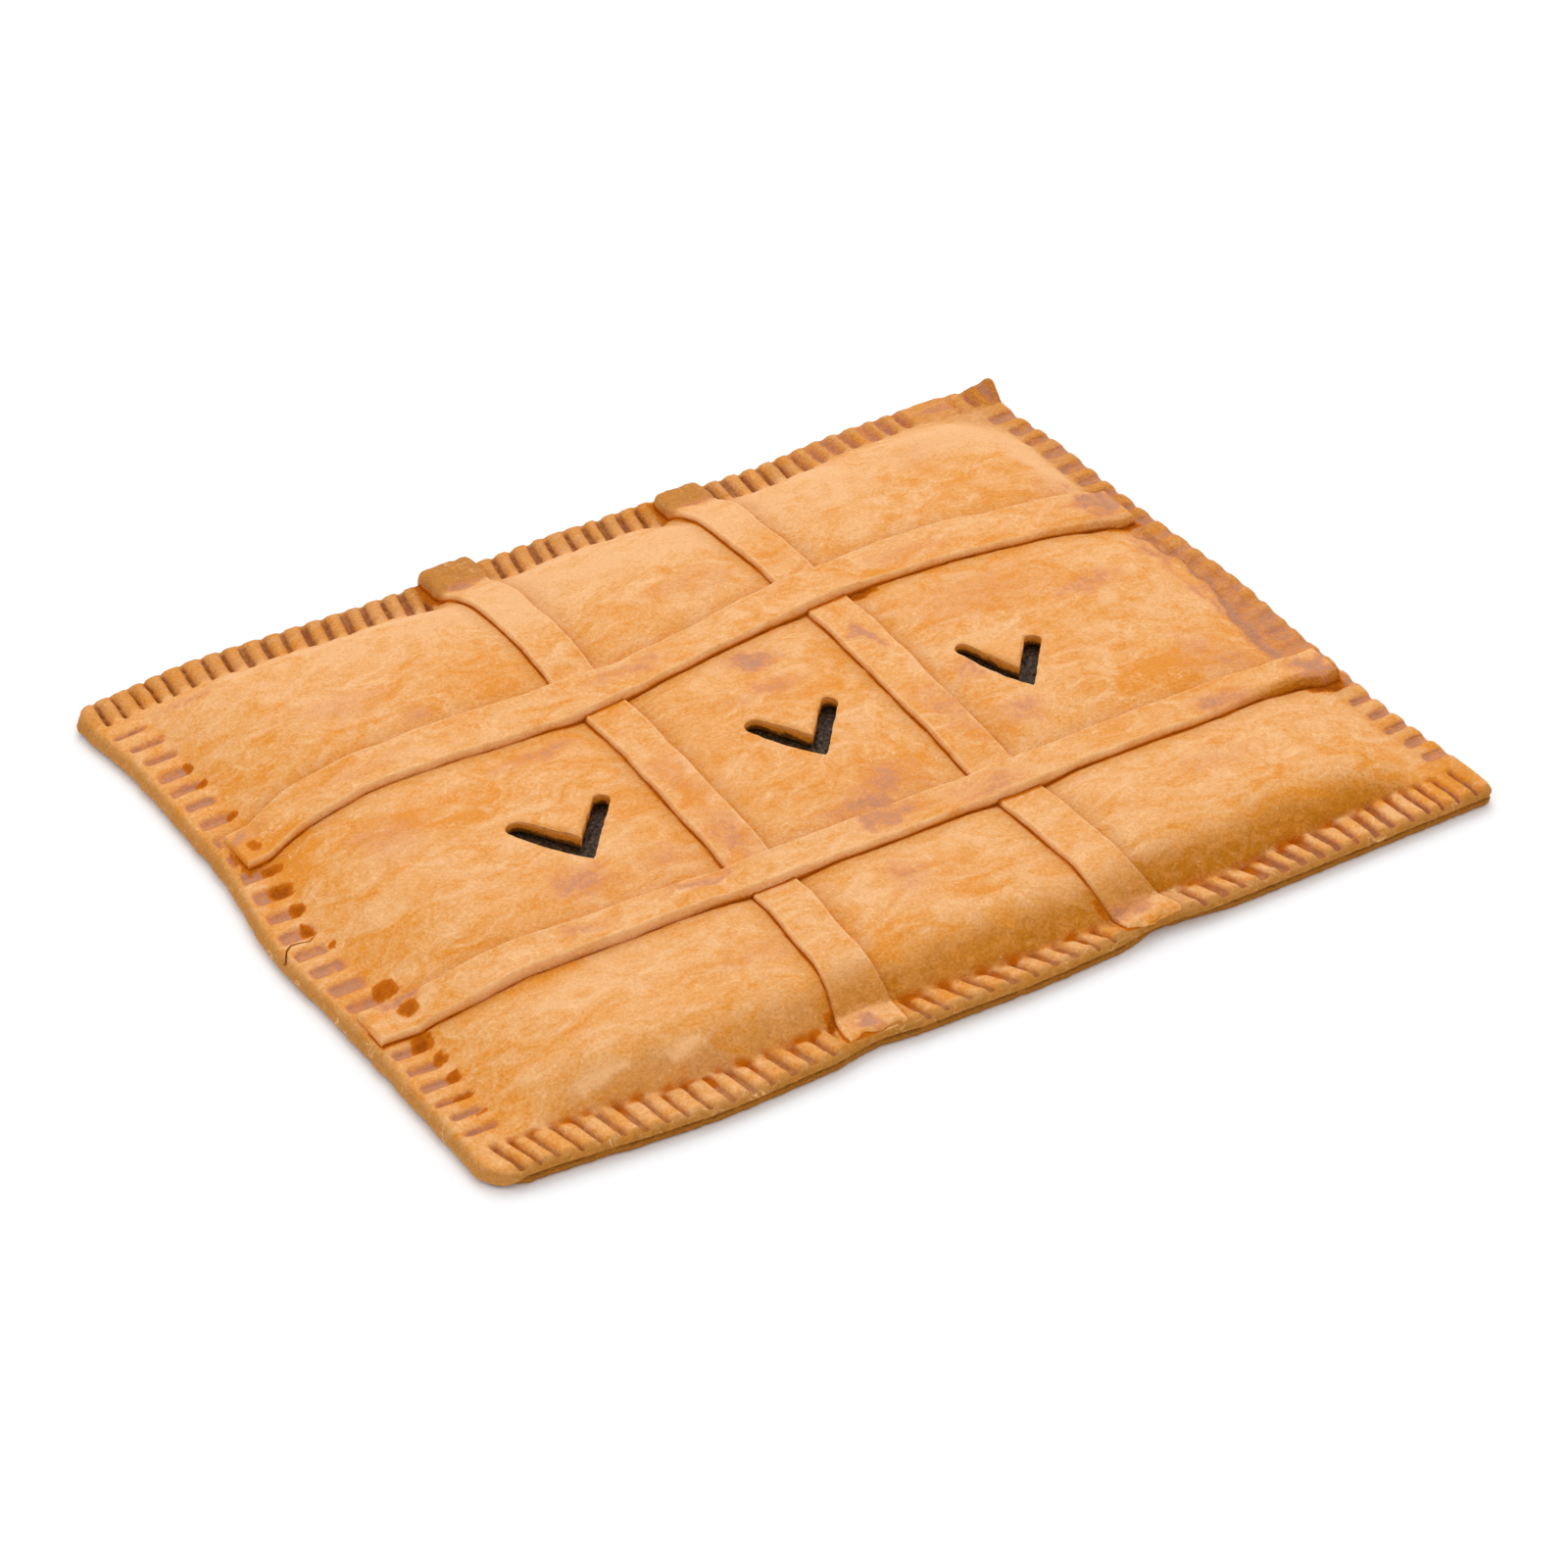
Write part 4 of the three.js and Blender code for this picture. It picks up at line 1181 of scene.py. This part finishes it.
def make_strip(strip, is_long, seed):
    start, end = strip["span"]
    widest = max(value for _, value in strip["width"])
    places = spaced(end - start, STRIP_STEP)
    shares = spaced(widest, STRIP_STEP) / widest
    piece = flat_grid(strip["name"] + "_dough", len(places) - 1, len(shares) - 1, 1, 1)
    grid_x, grid_y, _ = get_points(piece).T
    column = np.round((grid_x + 1) / 2 * (len(places) - 1)).astype(int)
    line = np.round((grid_y + 1) / 2 * (len(shares) - 1)).astype(int)

    # Where each point lies along and across, with wavy sides, rounded tabs and torn near ends
    from_start = places[column]
    place = start + from_start
    from_end = np.minimum(from_start, end - start - from_start)
    at_tab = 0 * place if is_long else smooth(place, TAB_START, TAB_START + 3)
    corner = np.clip(1 - from_end / TAB_CORNER, 0, 1)
    width = along(strip["width"], place) * (1 - (0.04 + 0.2 * at_tab) * (1 - np.sqrt(1 - corner ** 2)))
    wander = 0.35 * wave(place / 21, seed) + 0.15 * wave(place / 6, seed + 1)
    wander = wander + 0.3 * np.sign(shares[line] - 0.5) * noise(place / 13, 0 * place + 7, seed + 2)
    offset = (shares[line] - 0.5) * width
    if not is_long:
        torn = 1.6 * wave(offset / 8, seed + 9)
        torn = torn + 0.5 * wave(offset / 3, seed + 10)
        place = place + torn * fall(from_start, 0, 9)
    across = along(strip["centre"], place) + offset + wander
    from_edge = np.minimum(shares[line], 1 - shares[line]) * width
    x, y = (place, across) if is_long else (across, place)

    # How high it lies: thicker where a long strip crosses the short ones, which give way under it
    thick = STRIP_SETTLED * along(strip["thick"], place)
    if is_long:
        thick = thick + CROSSING_RISE * nearest_crossing(SHORT_STRIPS, place)
    else:
        thick = thick - CROSSING_SQUASH * nearest_crossing(LONG_STRIPS, place)
        tab = smooth(place, TAB_START - 1.5, TAB_START + 1.5)
        crumbs = 0.8 * noise(across / 6, place / 6, seed + 6)
        crumbs = crumbs + 0.35 * noise(across / 2, place / 2, seed + 7)
        thick = thick + tab * (TAB_RISE + crumbs)
    bead = BEAD_RISE * np.exp(-((from_edge - BEAD_PLACE) / BEAD_WIDTH) ** 2)
    uneven = 0.22 * noise(place / 15, across / 8, seed + 3) + 0.08 * noise(place / 4, across / 4, seed + 4)
    radius = STRIP_ROUND + (TAB_ROUND - STRIP_ROUND) * at_tab
    lift = rounded(from_edge, radius) * rounded(from_end, radius)
    height = strip_bed(x, y) - STRIP_SINK + (thick + STRIP_SINK + bead + uneven) * lift
    set_shape(piece, x, y, height)

    # Painted contact shadow at the near feet, brown flanks, pale edges and painted light on lit flanks
    slope = front_slope(*nominal(x, y))
    near = fall(shares[line], 0.35, 0.65)
    # Where the long strips' near flanks get painted light instead of shadow
    bright = span_share(place, (-150, -75), 15) * is_long
    # Painted contact shadow along the foot, mostly on the near side and less where the flank is lit
    foot = fall(rounded(from_edge, radius), 0.15, 0.4) * (0.1 + 0.9 * near) * (1 - 0.75 * bright)
    flank = near * fall(from_edge, 1.5, 6) * smooth(place, 130, 170) * strip["flank_toast"]
    rim = fall(from_edge, 0.6, 1.7)
    # Painted light on those near flanks
    lit_flank = 0.7 * near * rim * smooth(lift, 0.2, 0.4) * bright
    # Painted shadow where a short strip runs under a long one
    under = 0 * place if is_long else gutter_shadow(LONG_STRIPS, LONG_GUTTER_SHADOW, x, y)
    edge_light = np.clip(0.65 + 0.7 * wave(place / 9, seed + 8), 0.1, 1)
    edge_light = edge_light * fall(place, 125, 165)
    add_marks(piece, {
        "mauve": stained(x, y, STRIP_STAINS, 95),
        "toast": np.clip(0.5 * slope + flank + 0.15 * at_tab, 0, 1),
        "wall": at_tab,
        "tone_and_shade": toned_and_shaded(x, y),
        "caramel_and_shadow": np.maximum.reduce((caramel_and_shadow(x, y, STRIP_CARAMEL), foot, 0.15 * flank, under)),
        "pale": np.maximum(smooth(lift, 0.4, 0.7) * rim * edge_light * (1 - 0.5 * slope), lit_flank),
        "dry": np.clip(0.5 * slope + 0.8 * fall(lift, 0.6, 0.95) + at_tab, 0, 1),
    })
    close_below(piece, strip, is_long)
    return piece


class Wire:
    """One output of a material's nodes; arithmetic on it adds Math nodes."""

    def __init__(self, tree, socket=None):
        self.tree = tree
        self.socket = socket

    def add(self, kind, settings, inputs, output=0):
        """Adds a node of any kind, with its settings first and then its values and links."""
        node = self.tree.nodes.new(kind)
        for name, value in settings.items():
            setattr(node, name, value)
        for name, value in inputs.items():
            if isinstance(value, Wire):
                self.tree.links.new(value.socket, node.inputs[name])
            else:
                node.inputs[name].default_value = value
        return Wire(self.tree, node.outputs[output])

    def maths(self, operation, *values):
        return self.add("ShaderNodeMath", {"operation": operation}, dict(enumerate(values)))

    def __add__(self, other):
        return self.maths("ADD", self, other)

    __radd__ = __add__

    def __sub__(self, other):
        return self.maths("SUBTRACT", self, other)

    def __rsub__(self, other):
        return self.maths("SUBTRACT", other, self)

    def __mul__(self, other):
        return self.maths("MULTIPLY", self, other)

    __rmul__ = __mul__

    def step(self, low, high):
        """Rises gently from 0 at low to 1 at high."""
        settings = {"interpolation_type": "SMOOTHSTEP"}
        return self.add("ShaderNodeMapRange", settings, {"Value": self, "From Min": low, "From Max": high})

    def ramp(self, low, high):
        """Rises evenly from 0 at low to 1 at high, and no further."""
        return self.add("ShaderNodeMapRange", {}, {"Value": self, "From Min": low, "From Max": high})

    def mark(self, name):
        return self.add("ShaderNodeAttribute", {"attribute_name": name}, {}, "Fac")

    def mix(self, first, second, share):
        """One colour turning into another."""
        inputs = {0: share, 6: first, 7: second}
        return self.add("ShaderNodeMix", {"data_type": "RGBA"}, inputs, 2)

    def cloud(self, place, size, detail=3, roughness=0.5, distortion=0):
        """Soft noise with lumps of the given size in millimetres."""
        inputs = {"Vector": place, "Scale": 1 / (size * MM), "Detail": detail,
                  "Roughness": roughness, "Distortion": distortion}
        return self.add("ShaderNodeTexNoise", {}, inputs, "Fac")

    def stretched(self, place, x, y, z):
        return self.add("ShaderNodeVectorMath", {"operation": "MULTIPLY"}, {0: place, 1: (x, y, z)})

    def shade(self, colour, factor):
        """A colour made lighter or darker."""
        return self.add("ShaderNodeVectorMath", {"operation": "SCALE"}, {0: colour, "Scale": factor})

    def veins(self, place, size, width):
        """Thin winding lines, about as far apart as the given size in millimetres."""
        level = self.cloud(place, size, 4, 0.6, 0.6)
        return 1 - self.maths("ABSOLUTE", level - 0.5).step(0, width)

    def specks(self, place, spacing, radius, share):
        """Small round spots in some cells of the given spacing, in millimetres."""
        inputs = {"Vector": place, "Scale": 1 / (spacing * MM)}
        node = self.add("ShaderNodeTexVoronoi", {}, inputs, "Distance")
        chosen = Wire(self.tree, node.socket.node.outputs["Color"]).step(share, share + 0.05)
        return (1 - node.step(0.5 * radius / spacing, radius / spacing)) * chosen


def new_material(name):
    """A material's shader, and the wire that its nodes start from."""
    material = bpy.data.materials.new(name)
    material.use_nodes = True
    shader = material.node_tree.nodes["Principled BSDF"]
    return material, shader, Wire(material.node_tree)


def set_inputs(node, values):
    for name, value in values.items():
        node.inputs[name].default_value = value


def plug(wire, shader, name):
    wire.tree.links.new(wire.socket, shader.inputs[name])


# Colours of the crust, of the cut faces in the vents and of the filling
# Pale edge colour, also painted light on the lit flanks of the strips
BEAD = (0.90, 0.500, 0.215, 1)
PALE = (0.85, 0.440, 0.178, 1)
GOLD = (0.80, 0.352, 0.092, 1)
ORANGE = (0.765, 0.264, 0.020, 1)
RUSSET = (0.70, 0.250, 0.075, 1)
MAUVE = (0.54, 0.225, 0.108, 1)
TOAST = (0.56, 0.180, 0.004, 1)
GROOVE = (0.36, 0.118, 0.034, 1)
AMBER = (0.57, 0.140, 0.002, 1)
# Dark caramel brown, which also paints the shadow beside and under the strips
CARAMEL_AND_SHADOW_BROWN = (0.31, 0.060, 0.002, 1)
# Cut faces: the first two are painted light on the shaded vent walls, the last painted shade deep in the
# slots
CUT_FACE = (0.92, 0.370, 0.100, 1)
CUT_AMBER = (0.84, 0.270, 0.012, 1)
CUT_DEEP_SHADE = (0.110, 0.036, 0.004, 1)
SIDE_CRUST = (0.41, 0.158, 0.022, 1)
# Olive brown of the tabs, also painted shade on the lid's left wall
WALL = (0.50, 0.205, 0.045, 1)
FLOUR = (0.92, 0.70, 0.44, 1)
SPECK = (0.30, 0.09, 0.015, 1)
FILLING_DARK = (0.028, 0.014, 0.006, 1)
FILLING_LIGHT = (0.190, 0.095, 0.040, 1)
FILLING_GLINT = (0.5, 0.42, 0.33, 1)


def crust(name, shift):
    """Egg-washed dough: mottled gold, with orange and reddish patches and browner hollows."""
    material, shader, start = new_material(name)
    coordinates = start.add("ShaderNodeTexCoord", {}, {}, "Object")
    moved = {0: coordinates, 1: (shift, 2 * shift, 0)}
    place = start.add("ShaderNodeVectorMath", {"operation": "ADD"}, moved)

    broad = start.cloud(place, 48, 2)
    patches = start.cloud(start.stretched(place, 0.75, 1.25, 1), 14, 4, 0.6, 1.6)
    mottle = start.cloud(place, 4.5, 3, 0.65, 1.0)
    grain = start.cloud(place, 1.1, 3, 0.75)
    rough = broad.step(0.35, 0.65)
    # The tone mark is partly the crust's own tone and partly painted light and shade
    dough = 0.5 + start.mark("tone_and_shade") + 1.0 * (broad - 0.5) + 2.8 * (patches - 0.5)
    dough = dough + (0.4 + 1.0 * rough) * (mottle - 0.5) + 1.5 * (grain - 0.5)
    colour = start.mix(ORANGE, GOLD, dough.ramp(-0.1, 0.45))
    colour = start.mix(colour, PALE, dough.ramp(0.45, 1.05))

    toast, dry, cut = start.mark("toast"), start.mark("dry"), start.mark("cut")
    creases = start.veins(place, 26, 0.012) * patches.step(0.42, 0.6)
    fine = start.veins(place, 8, 0.02) * (1 - patches.step(0.4, 0.62))
    mauve = start.mark("mauve") * (0.4 + 0.8 * mottle.step(0.35, 0.65) + 0.4 * patches)
    # Caramel and the painted shadow beside and under the strips share one mark
    caramel_and_shadow_share = start.mark("caramel_and_shadow") * (0.45 + 1.1 * mottle)
    candied_and_shaded = caramel_and_shadow_share.step(0.05, 0.5)
    layers = (
        # The pale mark holds pale edges and painted light on the lit flanks
        (BEAD, start.mark("pale") * (0.5 + 0.8 * mottle)),
        (TOAST, (toast * (2.6 * mottle + 1.6 * patches - 1.0)).ramp(0, 0.9)),
        (SIDE_CRUST, start.mark("side") * (0.45 + 0.8 * mottle)),
        # The wall mark is the tabs' colour and painted shade on the lid's left wall
        (WALL, start.mark("wall") * (0.3 + 0.9 * mottle)),
        # Fine pale creases in the glaze, and specks of flour and of char
        (BEAD, (creases * 0.75 + fine * 0.25) * (1 - toast.step(0, 0.5))),
        (FLOUR, start.specks(place, 3.2, 0.36, 0.7) * (0.4 + 0.35 * dry)),
        (SPECK, start.specks(place, 7, 0.45, 0.7) * 0.5),
        # Stains, prints, caramel with painted shadow, and the cut faces in the vents with painted light and
        # shade
        (RUSSET, mauve.ramp(0.03, 0.5) * 0.9),
        # Mauve of stains and prints, in the prints and the hollow partly a painted reflection
        (MAUVE, mauve.ramp(0.3, 0.85) * (0.5 + 0.9 * mottle)),
        (GROOVE, start.mark("groove").step(0.3, 1) * (0.25 + 1.1 * mottle)),
        (AMBER, candied_and_shaded),
        (CARAMEL_AND_SHADOW_BROWN, caramel_and_shadow_share.step(0.6, 1.2) * 0.9),
        # Painted light on the upper vent walls, and painted shade deeper down
        (CUT_FACE, cut.step(0.0, 0.12) * 0.9),
        (CUT_AMBER, cut.step(0.12, 0.35) * 0.85),
        (CUT_DEEP_SHADE, (cut * (0.4 + 1.1 * mottle)).step(0.45, 0.8) * 0.92),
    )
    for paint, share in layers:
        colour = start.mix(colour, paint, share)
    # Darker in the pits and paler on the lumps of the bump's grain: partly grain colour, partly painted
    # shade and light
    colour = start.shade(colour, 0.79 - 0.2 * toast + (0.42 + 0.4 * toast) * grain)
    plug(colour, shader, "Base Color")

    set_inputs(shader, {"Roughness": 0.6, "Specular IOR Level": 0.04, "Coat Roughness": 0.3})
    gloss = (1 - dry) * (0.5 + 0.8 * patches) * (1 + 0.4 * mauve) * (1 - cut) * (1 - candied_and_shaded)
    plug(gloss * 0.24, shader, "Coat Weight")

    wrinkles = start.cloud(start.stretched(place, 1, 1.5, 1), 3.6, 3, 0.65, 1.2)
    relief = (0.8 + 2.0 * toast) * wrinkles + (0.8 + 0.9 * toast) * grain
    inputs = {"Strength": 0.8, "Distance": 0.8 * MM, "Height": relief}
    bump = start.add("ShaderNodeBump", {}, inputs, "Normal")
    plug(bump, shader, "Normal")
    return material


def filling_material():
    material, shader, start = new_material("filling")
    place = start.add("ShaderNodeTexCoord", {}, {}, "Object")
    grain = start.cloud(place, 1.1, 4, 0.7)
    colour = start.mix(FILLING_DARK, FILLING_LIGHT, grain.step(0.45, 0.75))
    # Pale specks painted as glints on the wet filling
    colour = start.mix(colour, FILLING_GLINT, start.specks(place, 2.2, 0.22, 0.8) * 0.8)
    plug(colour, shader, "Base Color")
    set_inputs(shader, {"Roughness": 0.5, "Specular IOR Level": 0.2})
    return material


# Light, floor and camera
CAMERA_TURN = -32.29
CAMERA_RISE = 37.051
CAMERA_DISTANCE = 1.7108
CAMERA_TARGET = Vector((-0.00271, -0.01367, 0))
CAMERA_LENS = 117
CAMERA_SENSOR = 36
FLOOR_SIZE = 12
FLOOR_WHITE = (0.96, 0.96, 0.96, 1)
KEY_LIGHT = {
    "turn": 150, "rise": 50, "distance": 2.6, "size": 2.1, "power": 22.5, "colour": (1, 0.99, 0.97),
}
SKY_COLOUR = (0.97, 0.985, 1, 1)
SKY_STRENGTH = 0.96


def direction(turn, rise):
    """From the object towards a camera or light; turn 0 is in front, rise is above the horizon."""
    turn, rise = math.radians(turn), math.radians(rise)
    return Vector((math.sin(turn) * math.cos(rise), -math.cos(turn) * math.cos(rise), math.sin(rise)))


def aim(thing, target):
    thing.rotation_euler = (thing.location - target).to_track_quat("Z", "Y").to_euler()


def add_light(name, turn, rise, distance, size, power, colour):
    deselect_all()
    bpy.ops.object.light_add(type="AREA", location=direction(turn, rise) * distance)
    light = named(name)
    light.data.shape = "DISK"
    light.data.size = size
    light.data.energy = power
    light.data.color = colour
    aim(light, Vector((0, 0, 0)))


def add_stage():
    deselect_all()
    bpy.ops.mesh.primitive_plane_add(size=FLOOR_SIZE)
    floor = named("floor")
    material, shader, _ = new_material("floor")
    set_inputs(shader, {"Base Color": FLOOR_WHITE, "Roughness": 0.9, "Specular IOR Level": 0})
    floor.data.materials.append(material)

    add_light("key", **KEY_LIGHT)
    world = bpy.data.worlds.new("studio")
    bpy.context.scene.world = world
    world.use_nodes = True
    set_inputs(world.node_tree.nodes["Background"], {"Color": SKY_COLOUR, "Strength": SKY_STRENGTH})

    deselect_all()
    place = CAMERA_TARGET + direction(CAMERA_TURN, CAMERA_RISE) * CAMERA_DISTANCE
    bpy.ops.object.camera_add(location=place)
    camera = named("camera")
    camera.data.lens = CAMERA_LENS
    camera.data.sensor_width = CAMERA_SENSOR
    aim(camera, CAMERA_TARGET)
    bpy.context.scene.camera = camera
    bpy.context.scene.view_settings.view_transform = "Standard"


lid = make_lid()
finish_piece(lid, "lid_sheet", crust("lid_crust", 0))
base = make_base()
finish_piece(base, "base_sheet", crust("base_crust", 3))
filling = make_filling()
finish_piece(filling, "filling", filling_material(), FILLING_SHARP)
strip_material = crust("strip_crust", 1.7)
for number, strip in enumerate(LONG_STRIPS + SHORT_STRIPS):
    piece = make_strip(strip, strip in LONG_STRIPS, 100 + 10 * number)
    finish_piece(piece, strip["name"], strip_material, STRIP_SHARP)
add_stage()
